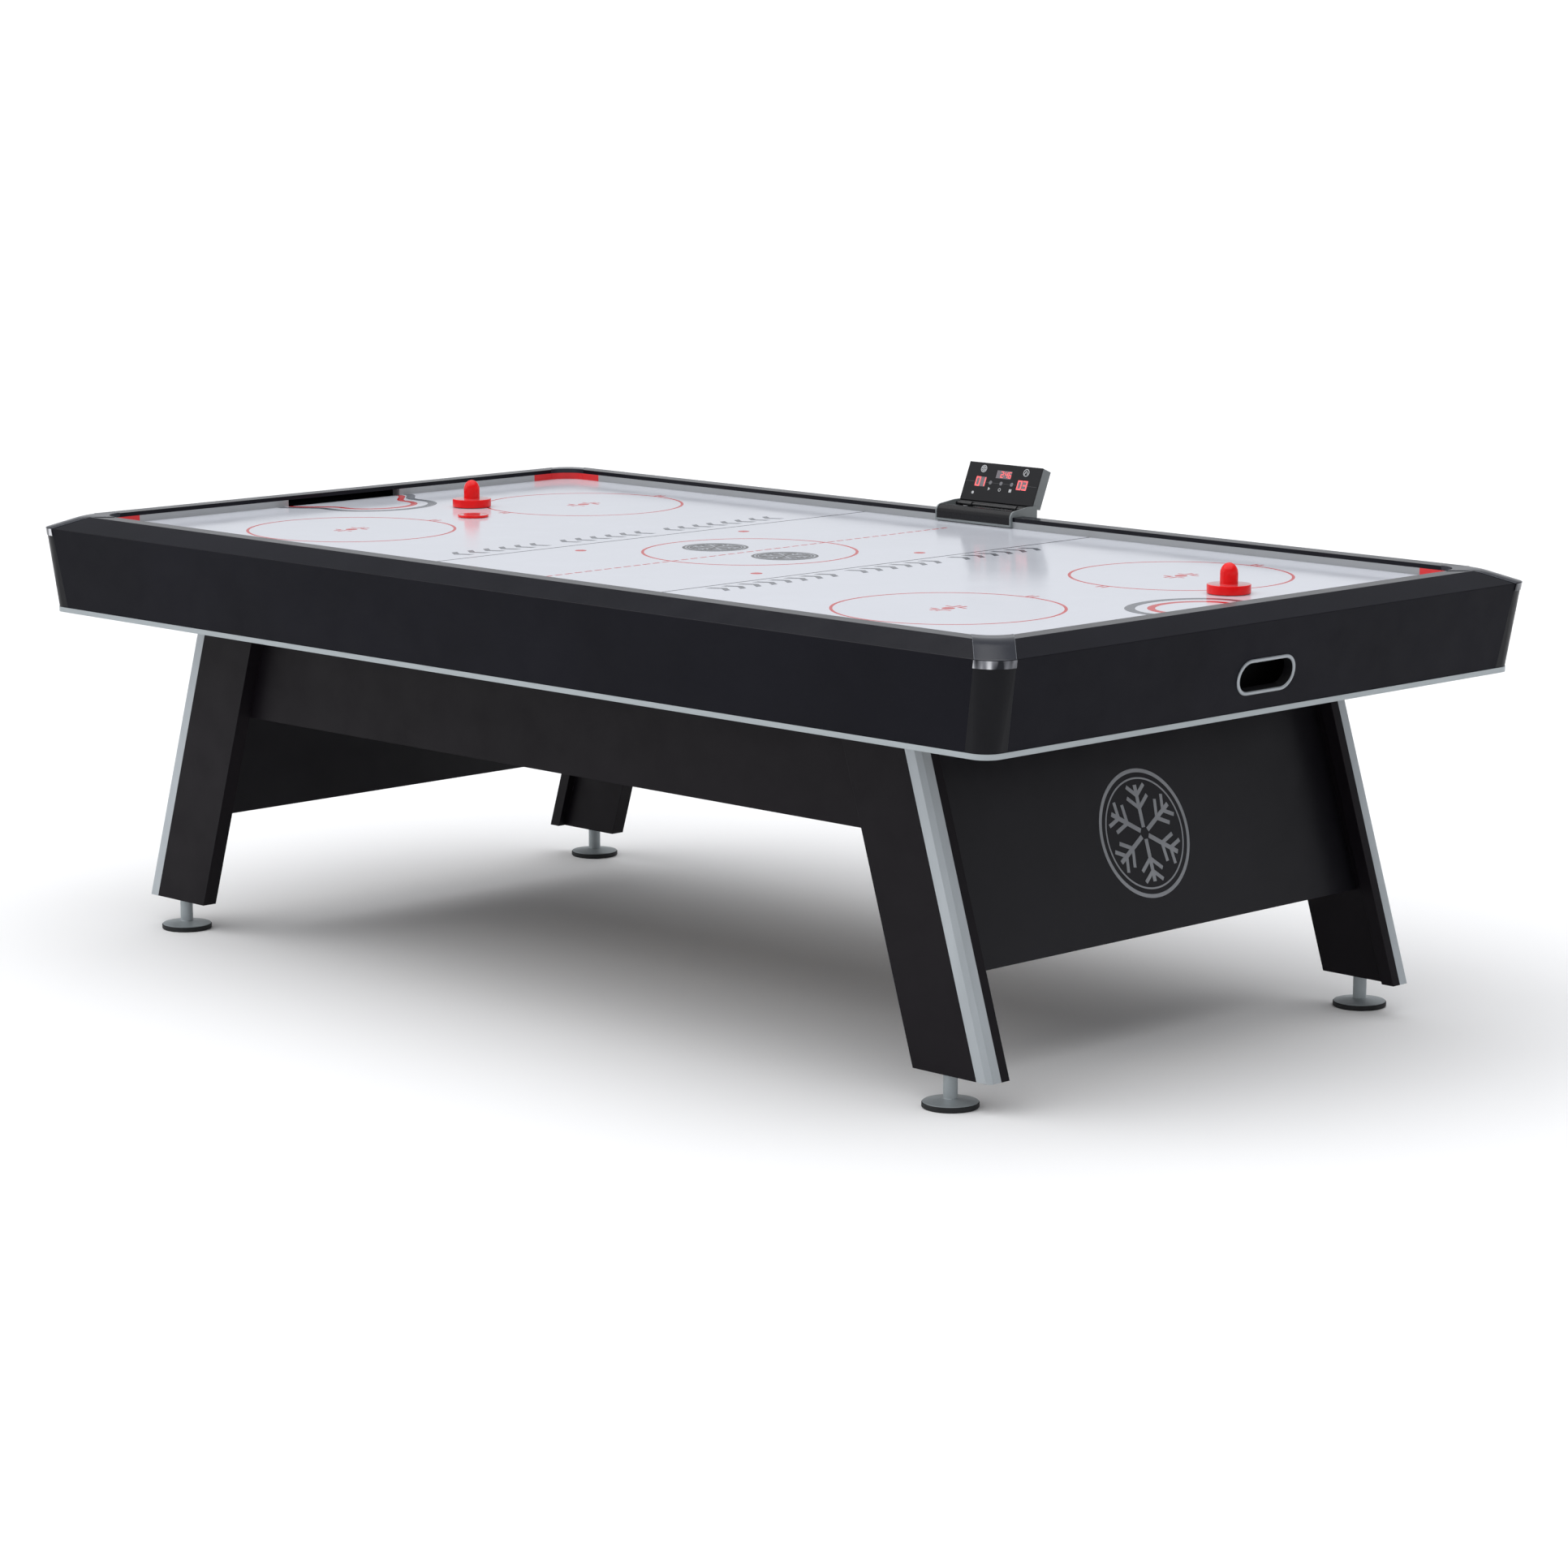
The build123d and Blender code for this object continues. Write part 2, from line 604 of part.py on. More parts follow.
def y_rod(x, z, radius, y0, y1):
    """A round rod along Y."""
    return Pos(x, (y0 + y1) / 2, z) * (Rot(90, 0, 0) * Cylinder(radius, y1 - y0))


def make_legs():
    chamfer_in = TRIM_CHAMFER + TRIM_T * 0.4
    board = [
        (TRIM_FACE, 0),
        (LEG_WIDTH, 0),
        (LEG_WIDTH, LEG_T),
        (LIP_X, LEG_T),
        (LIP_X, LIP_DEPTH),
        (0, LIP_DEPTH),
        (0, TRIM_END),
        (TRIM_T, TRIM_END),
        (TRIM_T, chamfer_in),
        (chamfer_in, TRIM_T),
        (TRIM_FACE, TRIM_T),
    ]
    trim = [
        (TRIM_FACE, 0),
        (TRIM_FACE, TRIM_T),
        (chamfer_in, TRIM_T),
        (TRIM_T, chamfer_in),
        (TRIM_T, TRIM_END),
        (0, TRIM_END),
        (0, TRIM_CHAMFER),
        (TRIM_CHAMFER, 0),
    ]
    leg = lean_prism(board)
    bore_top = STEM_TOP + FOOT_TRAVEL + 3
    leg -= Pos(FOOT_X, FOOT_Y, bore_top / 2) * Cylinder(STEM_R + STEM_CLEARANCE, bore_top)
    bolts = []
    inner = LEG_FACE_Y - LEG_T - BOARD
    for z in BOLT_HEIGHTS:
        x = leg_end(z) - BOLT_INSET
        leg -= y_rod(x, z, BOLT_R + BOLT_CLEARANCE, inner, BOLT_TIP)
        washer = y_rod(x, z, 2.2 * BOLT_R, inner - 1.5, inner)
        head = Pos(x, inner - 1.5, z) * (Rot(90, 0, 0) * extrude(RegularPolygon(8.0, 6), 5.0))
        bolts.append(y_rod(x, z, BOLT_R, inner - 1.5, BOLT_TIP - 1) + washer + head)
    names = ["leg_back_right", "leg_front_right", "leg_back_left", "leg_front_left"]
    for name, (sx, sy) in zip(names, ((1, 1), (1, -1), (-1, 1), (-1, -1))):
        keep(name, to_corner(leg, sx, sy))
    keep("leg_trims", corners(lean_prism(trim)))
    keep("leg_bolts", [piece for bolt in bolts for piece in corners(bolt)])

    back_y = LEG_FACE_Y - LEG_T
    plate = [
        (leg_end(z) - END_PANEL_RECESS - depth, z)
        for z, depth in (
            (END_PANEL_BOTTOM, 0),
            (LEG_TOP, 0),
            (LEG_TOP, BOARD),
            (END_PANEL_BOTTOM, BOARD),
        )
    ]
    keep("end_panels", both_ends(prism_y(plate, -back_y, back_y)))

    def inner_end(z):
        return leg_end(z) - END_PANEL_RECESS - BOARD

    sheet = [
        (-inner_end(LEG_TOP), LEG_TOP),
        (inner_end(LEG_TOP), LEG_TOP),
        (inner_end(SIDE_PANEL_BOTTOM), SIDE_PANEL_BOTTOM),
        (-inner_end(SIDE_PANEL_BOTTOM), SIDE_PANEL_BOTTOM),
    ]
    side = prism_y(sheet, back_y - BOARD, back_y)
    for z in BOLT_HEIGHTS:
        for sign in (-1, 1):
            x = sign * (leg_end(z) - BOLT_INSET)
            side -= y_rod(x, z, BOLT_R + BOLT_CLEARANCE, back_y - BOARD - 1, back_y + 1)
    keep("side_panels", both_sides(side))

    inner_face = HALF_WIDTH - BOARD - SIDE_TAPER * (BEVEL_EDGE - LEG_TOP) / (
        BEVEL_EDGE - APRON_BOTTOM
    )
    reach = inner_face - 0.3
    keep("cross_beams", both_ends(box(BEAM_X, (-reach, reach), (LEG_TOP, PLENUM_BOTTOM))))


def make_feet():
    """Levelling feet: a stem in the leg's bore, a cone and a rubber pad."""
    cone_top = PAD_H + CONE_H
    stem = Pos(0, 0, (STEM_TOP + cone_top) / 2) * Cylinder(STEM_R, STEM_TOP - cone_top)
    outline = Polyline(
        (0, PAD_H),
        (CONE_R, PAD_H),
        (CONE_R, PAD_H + CONE_RIM),
        (STEM_R + 1.3, cone_top),
        (0, cone_top),
        close=True,
    )
    cone = revolve(Plane.XZ * make_face(outline), Axis.Z)
    foot = Pos(FOOT_X, FOOT_Y, 0) * (stem + cone)
    pad = Pos(FOOT_X, FOOT_Y, PAD_H / 2) * Cylinder(FOOT_R, PAD_H)
    pad = fillet(pad.edges().filter_by(GeomType.CIRCLE), 2.0)
    names = ["back_right", "front_right", "back_left", "front_left"]
    for name, (sx, sy) in zip(names, ((1, 1), (1, -1), (-1, 1), (-1, -1))):
        keep("foot_" + name, to_corner(foot, sx, sy))
        keep("foot_pad_" + name, to_corner(pad, sx, sy))


# ---- scorer ---------------------------------------------------------------------------------------


def display_frame(t=0.0):
    """Plane on the display's front face: local x is +X, local y runs up the face."""
    back = Vector(0, math.cos(LEAN), -math.sin(LEAN))
    origin = Vector(0, *DISPLAY_FOOT) + back * t
    return Plane(origin=origin, x_dir=(1, 0, 0), z_dir=-back)


def on_display(x, up, t0, t1):
    """A block given by x and up ranges on the face and by depths behind it."""
    sketch = Pos((x[0] + x[1]) / 2, (up[0] + up[1]) / 2) * Rectangle(x[1] - x[0], up[1] - up[0])
    return extrude(display_frame(t1) * sketch, t1 - t0)


def display_disc(x, up, radius, t0, t1):
    return extrude(display_frame(t1) * (Pos(x, up) * Circle(radius)), t1 - t0)


def nose_points(grow):
    """(y, z) points round the scorer's front top edge, grown outward by a skin."""
    steps = [math.radians(7.5 * step) for step in range(13)]
    middle = FIELD_Y - NOSE_PROUD + NOSE_R
    return [
        (middle - NOSE_R * math.cos(a) - grow, NOSE_Z + NOSE_R * math.sin(a) + grow) for a in steps
    ]


def make_scorer():
    wall = FIELD_Y
    knee = HALF_WIDTH - BEVEL_WIDTH
    seat = [(BASE_BACK, bevel_z(HALF_WIDTH - BASE_BACK)), (knee, RAIL_TOP), (wall, RAIL_TOP)]
    front = [(wall, LIP_Z[1]), (wall - NOSE_PROUD, LIP_Z[1])]
    saddle = [*front, *nose_points(0), (wall + 20, BASE_TOP), (BASE_BACK, BASE_TOP), *seat]
    keep("scorer_base", prism_x(saddle, -SCORER_HALF, SCORER_HALF))

    heel = BASE_BACK + 1
    lip = wall - NOSE_PROUD - SKIN_T
    seat[0] = (heel, bevel_z(HALF_WIDTH - heel))
    front = [(wall, LIP_Z[0]), (lip, LIP_Z[0])]
    cheek = [*front, *nose_points(SKIN_T), (wall + 45, CHEEK_TOP), (heel, CHEEK_TOP), *seat]
    plates = [
        prism_x(cheek, side * SCORER_HALF, side * (SCORER_HALF + SIDE_PLATE_T)) for side in (-1, 1)
    ]
    strip = box((-SCORER_HALF, SCORER_HALF), (lip, wall), LIP_Z)
    keep("scorer_bracket", plates[0] + strip + plates[1])

    pin = Pos(0, *PIVOT) * (Rot(0, 90, 0) * Cylinder(PIN_R, 2 * SCORER_HALF))
    keep("scorer_pin", pin)

    half, height, depth = DISPLAY_HALF, DISPLAY_H, DISPLAY_T
    shell = on_display((-half, half), (0, height), FACE_T, depth)
    shell -= on_display(
        (-half + SHELL_T, half - SHELL_T), (SHELL_T, height - SHELL_T), FACE_T - 1, depth - SHELL_T
    )
    leaf_y, leaf_z = LEAF_FOOT
    leaf = [
        display_point(0, FACE_T), display_point(0, FACE_T + LEAF_T), (leaf_y + LEAF_T, leaf_z),
        LEAF_FOOT, (leaf_y, leaf_z + 2 * LEAF_T),
    ]
    shell += prism_x(leaf, -half, half)
    for side in (-1, 1):
        shell += Pos(side * LUG_X, *PIVOT) * (Rot(0, 90, 0) * Cylinder(LUG_R, LUG_W))
    bore = Cylinder(PIN_R + PIN_CLEARANCE, 2 * SCORER_HALF)
    shell -= Pos(0, *PIVOT) * (Rot(0, 90, 0) * bore)
    keep("display_housing", shell)

    face = on_display((-half, half), (0, height), 0, FACE_T)
    for x, up, width, tall in WINDOWS:
        face -= on_display(
            (x - width / 2, x + width / 2), (up - tall / 2, up + tall / 2), -1, FACE_T + 1
        )
    for x in BUTTON_X:
        face -= display_disc(x, BUTTON_ROW, BUTTON_R + 0.08, -1, FACE_T + 1)
    keep("display_face", face)

    board = on_display((-82, 82), (8, 68), BOARD_DEPTH, BOARD_DEPTH + 1.6)
    lens = LENS_SLACK
    for x, up, width, tall in WINDOWS:
        board += on_display(
            (x - width / 2 + lens, x + width / 2 - lens),
            (up - tall / 2 + lens, up + tall / 2 - lens),
            0.6,
            BOARD_DEPTH,
        )
    for x in BUTTON_X:
        board += display_disc(x, BUTTON_ROW, 2.5, 6.0, BOARD_DEPTH)
    keep("display_board", board)

    for name, x in zip(("start", "mode", "stop"), BUTTON_X):
        cap = display_disc(x, BUTTON_ROW, BUTTON_R, -BUTTON_PROUD, FACE_T + 0.2)
        cap += display_disc(x, BUTTON_ROW, BUTTON_R + 1.2, FACE_T + 0.2, FACE_T + 1.4)
        keep("button_" + name, cap)


def display_point(up, t):
    """(y, z) of a point on the display's side, up the face and behind it."""
    y = DISPLAY_FOOT[0] + up * math.sin(LEAN) + t * math.cos(LEAN)
    z = DISPLAY_FOOT[1] + up * math.cos(LEAN) - t * math.sin(LEAN)
    return y, z


# ---- pushers and puck --------------------------------------------------------------------------


def make_players():
    skirt = GAP + 0.5
    base_top = GAP + PUSHER_BASE_H
    top = GAP + PUSHER_H
    straight = GAP + KNOB_STRAIGHT
    dome = [
        (KNOB_R * math.cos(a), straight + (top - straight) * math.sin(a))
        for a in (math.radians(7.5 * step) for step in range(1, 12))
    ]
    outline = [
        (0, skirt), (PUSHER_R - 0.8, skirt), (PUSHER_R, skirt + 0.8), (PUSHER_R, base_top - 1.2),
        (PUSHER_R - 1.2, base_top), (KNOB_R + 1, base_top), (KNOB_R, base_top + 1),
        (KNOB_R, straight), *dome, (0, top),
    ]
    felt_r = PUSHER_R - PUSHER_WALL
    hollow_r = felt_r - FELT_W
    roof = base_top - PUSHER_WALL
    seat = GAP + FELT_T
    hollow = [
        (0, skirt - 1), (felt_r, skirt - 1), (felt_r, seat), (hollow_r, seat), (hollow_r, roof),
        (0, roof),
    ]
    body = turned(outline) - turned(hollow)
    felt = Pos(0, 0, GAP + FELT_T / 2) * (
        Cylinder(felt_r - 0.2, FELT_T) - Cylinder(hollow_r, FELT_T + 1)
    )
    for name, (x, y) in (("left", PUSHER_LEFT), ("right", PUSHER_RIGHT)):
        at = Pos(x, y, SURFACE_Z)
        keep("pusher_" + name, at * body)
        keep("pusher_felt_" + name, at * felt)
    puck = Pos(0, 0, GAP + PUCK_T / 2) * Cylinder(PUCK_R, PUCK_T)
    puck = chamfer(puck.edges().filter_by(GeomType.CIRCLE), 0.8)
    keep("puck", Pos(*PUCK_AT, SURFACE_Z) * puck)


def turned(points):
    """Turns an (r, z) outline about Z."""
    return revolve(Plane.XZ * make_face(Polyline(*points, close=True)), Axis.Z)


def main():
    make_rails()
    make_liners()
    make_caps()
    make_aprons()
    make_trims()
    make_field()
    make_goals()
    make_blower()
    make_power()
    make_legs()
    make_feet()
    make_scorer()
    make_players()
    os.makedirs("parts", exist_ok=True)
    for name, shape in made.items():
        export_step(shape, f"parts/{name}.step")
    print(len(made), "nodes, origin", round(ORIGIN_Y, 3), "mm from the table's centre line")


main()
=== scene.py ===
"""Looks of the air hockey table: finishes, printed markings, turned parts, scorer display, light, camera.

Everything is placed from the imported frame, in metres. Outlines and markings are given in millimetres
and turned into metres where their meshes are made.
"""

import math

import bmesh
import bpy
from mathutils import Matrix, Vector


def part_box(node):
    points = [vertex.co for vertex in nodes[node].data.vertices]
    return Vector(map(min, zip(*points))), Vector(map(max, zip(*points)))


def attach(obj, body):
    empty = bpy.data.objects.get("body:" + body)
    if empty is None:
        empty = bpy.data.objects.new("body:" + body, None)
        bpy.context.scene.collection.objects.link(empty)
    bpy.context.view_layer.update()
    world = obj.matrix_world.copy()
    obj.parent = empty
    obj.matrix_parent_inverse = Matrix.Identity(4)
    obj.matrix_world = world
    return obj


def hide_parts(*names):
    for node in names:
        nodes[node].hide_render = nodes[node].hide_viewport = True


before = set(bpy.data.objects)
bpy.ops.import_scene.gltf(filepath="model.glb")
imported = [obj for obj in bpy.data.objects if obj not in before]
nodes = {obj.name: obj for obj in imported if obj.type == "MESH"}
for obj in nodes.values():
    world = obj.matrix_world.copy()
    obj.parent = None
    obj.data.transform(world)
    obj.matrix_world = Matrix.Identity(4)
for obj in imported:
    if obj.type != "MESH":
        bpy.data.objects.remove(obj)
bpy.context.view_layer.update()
MM = 0.001

field_low, field_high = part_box("playfield")
SURFACE = field_high.z
MID_Y = (field_low.y + field_high.y) / 2
TABLE = Matrix.Translation((0, MID_Y, SURFACE))


def srgb(red, green, blue):
    """A colour given as 0 to 255 screen values, as linear light."""
    linear = []
    for value in (red, green, blue):
        c = value / 255
        linear.append(c / 12.92 if c <= 0.04045 else ((c + 0.055) / 1.055) ** 2.4)
    return tuple(linear)


# ---- finishes ------------------------------------------------------------------------------------


class Finish:
    """One node material around a Principled shader. Scales are cycles per metre on the object."""

    def __init__(self, name, **sockets):
        self.material = bpy.data.materials.new(name)
        self.material.use_nodes = True
        self.tree = self.material.node_tree
        self.shader = self.tree.nodes["Principled BSDF"]
        for label, value in sockets.items():
            self.shader.inputs[label.replace("_", " ")].default_value = value
        self.place = self.add("TexCoord").outputs["Object"]
        self.normal = None

    def add(self, kind, **settings):
        node = self.tree.nodes.new("ShaderNode" + kind)
        for label, value in settings.items():
            setattr(node, label, value)
        return node

    def link(self, source, target):
        self.tree.links.new(source, target)

    def stretched(self, factors):
        node = self.add("Mapping")
        node.inputs["Scale"].default_value = factors
        self.link(self.place, node.inputs["Vector"])
        return node.outputs["Vector"]

    def noise(self, scale, detail=2.0, rough=0.5, stretch=None):
        node = self.add("TexNoise")
        node.inputs["Scale"].default_value = scale
        node.inputs["Detail"].default_value = detail
        node.inputs["Roughness"].default_value = rough
        self.link(self.stretched(stretch) if stretch else self.place, node.inputs["Vector"])
        return node.outputs["Fac"]

    def cells(self, scale, stretch=None):
        node = self.add("TexVoronoi", feature="F1")
        node.inputs["Scale"].default_value = scale
        self.link(self.stretched(stretch) if stretch else self.place, node.inputs["Vector"])
        return node.outputs["Distance"]

    def mapped(self, source, low, high, start=0.3, end=0.7):
        """The source's start to end, spread over low to high."""
        node = self.add("MapRange")
        for label, value in zip(("From Min", "From Max", "To Min", "To Max"), (start, end, low, high)):
            node.inputs[label].default_value = value
        self.link(source, node.inputs["Value"])
        return node.outputs["Result"]

    def colours(self, source, *stops):
        """Base colour from (position, colour) stops along the source."""
        ramp = self.add("ValToRGB")
        elements = ramp.color_ramp.elements
        while len(elements) < len(stops):
            elements.new(0.5)
        for element, (position, colour) in zip(elements, stops):
            element.position = position
            element.color = (*colour, 1)
        self.link(source, ramp.inputs["Fac"])
        self.link(ramp.outputs["Color"], self.shader.inputs["Base Color"])
        return ramp.outputs["Color"]

    def tint(self, colour, amount, scale=7.0, stretch=None):
        """A colour that wanders by a share either way."""
        dark = tuple(c * (1 - amount) for c in colour)
        light = tuple(min(1.0, c * (1 + amount)) for c in colour)
        source = self.noise(scale, 4.0, stretch=stretch)
        return self.colours(source, (0.32, dark), (0.5, colour), (0.68, light))

    def rough(self, low, high, scale=40.0, stretch=None):
        source = self.noise(scale, 3.0, stretch=stretch)
        self.link(self.mapped(source, low, high), self.shader.inputs["Roughness"])

    def soften(self, radius):
        """Rounds the light on sharp edges, as a small real edge radius does."""
        node = self.add("Bevel", samples=6)
        node.inputs["Radius"].default_value = radius
        self.feed(node.outputs["Normal"])

    def bump(self, source, depth, strength):
        node = self.add("Bump")
        node.inputs["Strength"].default_value = strength
        node.inputs["Distance"].default_value = depth
        self.link(source, node.inputs["Height"])
        if self.normal:
            self.link(self.normal, node.inputs["Normal"])
        self.feed(node.outputs["Normal"])

    def feed(self, normal):
        self.normal = normal
        self.link(normal, self.shader.inputs["Normal"])


def laminate(name, colour, low=0.36, high=0.48, level=0.1):
    """Black foil on board: a fine pebbled emboss, a faint mottle and softened board edges."""
    look = Finish(name, Specular_IOR_Level=level)
    look.tint(colour, 0.12, scale=5.0)
    look.rough(low, high, scale=18.0)
    look.soften(0.0012)
    look.bump(look.noise(1400.0, 2.0), 0.00006, 0.35)
    look.bump(look.cells(620.0), 0.00005, 0.25)
    return look.material


def moulded(name, colour, low, high, grain=900.0, edge=0.0006, level=0.5, amount=0.06):
    """Injection-moulded plastic with a fine spark-eroded grain."""
    look = Finish(name, Specular_IOR_Level=level)
    look.tint(colour, amount, scale=30.0)
    look.rough(low, high, scale=90.0)
    look.soften(edge)
    look.bump(look.noise(grain, 3.0), 0.00003, 0.3)
    return look.material


def metal(name, colour, low, high, metallic=1.0, stretch=(1, 1, 1), edge=0.0006, level=0.5):
    """Metal with drawn or brushed lines along whichever axis the stretch leaves short."""
    look = Finish(name, Metallic=metallic, Specular_IOR_Level=level)
    look.tint(colour, 0.08, scale=12.0, stretch=stretch)
    look.rough(low, high, scale=200.0, stretch=stretch)
    look.soften(edge)
    look.bump(look.noise(500.0, 4.0, 0.6, stretch=stretch), 0.00002, 0.25)
    return look.material


def streaked_chrome():
    """Polished metal that carries soft upright light and dark streaks, painted reflections of the kind
    chrome round a corner shows.
    """
    look = Finish("corner_chrome", Metallic=0.9, Specular_IOR_Level=0.5)
    upright = (1, 1, 0)
    # Painted reflection: upright streaks from dark to near white in the base colour, as chrome round a
    # corner reflects.
    reflection_streaks = look.noise(52.0, 1.0, stretch=upright)
    look.colours(reflection_streaks, (0.38, srgb(34, 35, 39)), (0.5, srgb(112, 113, 118)), (0.62, srgb(210, 211, 214)))
    look.rough(0.12, 0.22, scale=60.0, stretch=upright)
    look.soften(0.0006)
    return look.material


def shell_look():
    """The display's grey case, whose hinge leaf and lugs in front of the case are near black."""
    look = Finish("display_shell")
    grey = look.tint(srgb(116, 121, 123), 0.06, scale=30.0)
    split = look.add("SeparateXYZ")
    look.link(look.place, split.inputs["Vector"])
    case_front, blur = MID_Y + 0.6505, 0.0002
    behind = look.mapped(split.outputs["Y"], 0.0, 1.0, case_front - blur, case_front + blur)
    blend = look.add("Mix", data_type="RGBA")
    blend.inputs["A"].default_value = (*srgb(24, 24, 27), 1)
    look.link(behind, blend.inputs["Factor"])
    look.link(grey, blend.inputs["B"])
    look.link(blend.outputs["Result"], look.shader.inputs["Base Color"])
    look.rough(0.34, 0.44, scale=90.0)
    look.soften(0.0006)
    look.bump(look.noise(900.0, 3.0), 0.00003, 0.3)
    return look.material


def field_look():
    """Gloss-coated white board with a barely visible grid of air holes, sized as shares of the pitch, drawn
    as painted shade: greyer dots in the base colour.
    """
    look = Finish("field_gloss", Specular_IOR_Level=0.4)
    look.rough(0.1, 0.15, scale=9.0)
    white = look.tint(srgb(214, 217, 226), 0.012, scale=3.0)
    pitch = 0.0254
    hole_r, hole_fade = 0.014, 0.02
    node = look.add("TexVoronoi", feature="F1", voronoi_dimensions="2D")
    node.inputs["Randomness"].default_value = 0.0
    node.inputs["Scale"].default_value = 1 / pitch
    look.link(look.place, node.inputs["Vector"])
    hole = look.mapped(node.outputs["Distance"], 1.0, 0.0, hole_r, hole_fade)
    # Painted shade: the holes are greyer dots in the base colour, standing for the shade inside them.
    hole_shade = look.add("Mix", data_type="RGBA")
    hole_shade.inputs["B"].default_value = (*srgb(200, 203, 209), 1)
    look.link(hole, hole_shade.inputs["Factor"])
    look.link(white, hole_shade.inputs["A"])
    look.link(hole_shade.outputs["Result"], look.shader.inputs["Base Color"])
    look.bump(look.noise(4.0, 1.0), 0.0002, 0.1)
    return look.material


def printed(name, colour):
    """Ink under the play field's own gloss."""
    look = Finish(name, Specular_IOR_Level=0.2)
    look.tint(colour, 0.04, scale=160.0)
    look.rough(0.12, 0.18, scale=60.0)
    return look.material


def glowing(name, colour, dim, strength):
    """A lit display segment: brighter in the middle of its dots, behind a tinted window."""
    look = Finish(name, Roughness=0.3, Emission_Strength=strength)
    dots = look.cells(1500.0)
    look.colours(dots, (0.0, colour), (0.6, dim))
    ramp = look.shader.inputs["Base Color"].links[0].from_socket
    look.link(ramp, look.shader.inputs["Emission Color"])
    return look.material


def board_look():
    """Raw particle board: pale chips in a brown ground."""
    look = Finish("raw_board", Specular_IOR_Level=0.2)
    chips = look.cells(260.0, stretch=(1, 1, 2.5))
    look.colours(chips, (0.1, (0.16, 0.13, 0.10)), (0.45, (0.27, 0.22, 0.17)), (0.8, (0.21, 0.17, 0.13)))
    look.rough(0.7, 0.9, scale=200.0)
    look.bump(look.noise(700.0, 3.0), 0.0002, 0.5)
    return look.material


def felt_look():
    """Short dense fibres."""
    look = Finish("grey_felt", Roughness=0.95, Sheen_Weight=0.6, Sheen_Roughness=0.5)
    look.tint((0.05, 0.05, 0.055), 0.5, scale=900.0)
    look.bump(look.noise(2200.0, 4.0, 0.7), 0.0004, 0.8)
    return look.material


def rubber_look():
    """Moulded rubber with a dusty bloom."""
    look = Finish("foot_rubber", Specular_IOR_Level=0.3)
    look.tint((0.013, 0.014, 0.015), 0.3, scale=60.0)
    look.rough(0.55, 0.75, scale=120.0)
    look.soften(0.0008)
    look.bump(look.noise(1200.0, 3.0), 0.00008, 0.4)
    return look.material


def player_look(name, colour, level=0.3, coat=0.0):
    """Glossy through-coloured plastic, slightly translucent, with faint handling scuffs."""
    look = Finish(name, Subsurface_Weight=0.25, Subsurface_Scale=0.006, Specular_IOR_Level=level,
                  Coat_Weight=coat, Coat_Roughness=0.05)
    look.shader.inputs["Subsurface Radius"].default_value = (1.0, 0.25, 0.2)
    look.tint(colour, 0.05, scale=50.0)
    look.rough(0.19, 0.24, scale=140.0)
    look.bump(look.noise(500.0, 2.0), 0.00002, 0.12)
    return look.material


rail_foil = laminate("rail_foil", srgb(19, 19, 26), low=0.14, high=0.17, level=0.12)
foil = laminate("black_foil", srgb(17, 17, 24), low=0.4, high=0.5, level=0.06)
leg_foil = laminate("leg_foil", srgb(21, 18, 22), low=0.4, high=0.52)
panel_foil = laminate("panel_foil", srgb(26, 25, 29), low=0.3, high=0.42, level=0.18)
red_print = printed("red_print", srgb(198, 14, 22))
grey_print = printed("grey_print", srgb(96, 100, 108))
line_print = printed("line_print", srgb(156, 160, 168))
dark_print = printed("dark_print", srgb(74, 77, 84))
ink_print = printed("ink_print", srgb(34, 35, 40))
trim_silver = metal("trim_silver", srgb(164, 171, 174), 0.36, 0.48, metallic=0.35, stretch=(0.1, 0.1, 1))
silver_post = metal("leg_silver", srgb(172, 178, 182), 0.38, 0.5, metallic=0.35, stretch=(1, 1, 0.06))
player_red = player_look("player_red", srgb(236, 12, 16))
# Painted sheen: a paler, pinker red for flat tops, standing for the reflection they show.
painted_sheen_red = player_look("painted_sheen_red", srgb(212, 84, 90), level=0.5, coat=1.0)

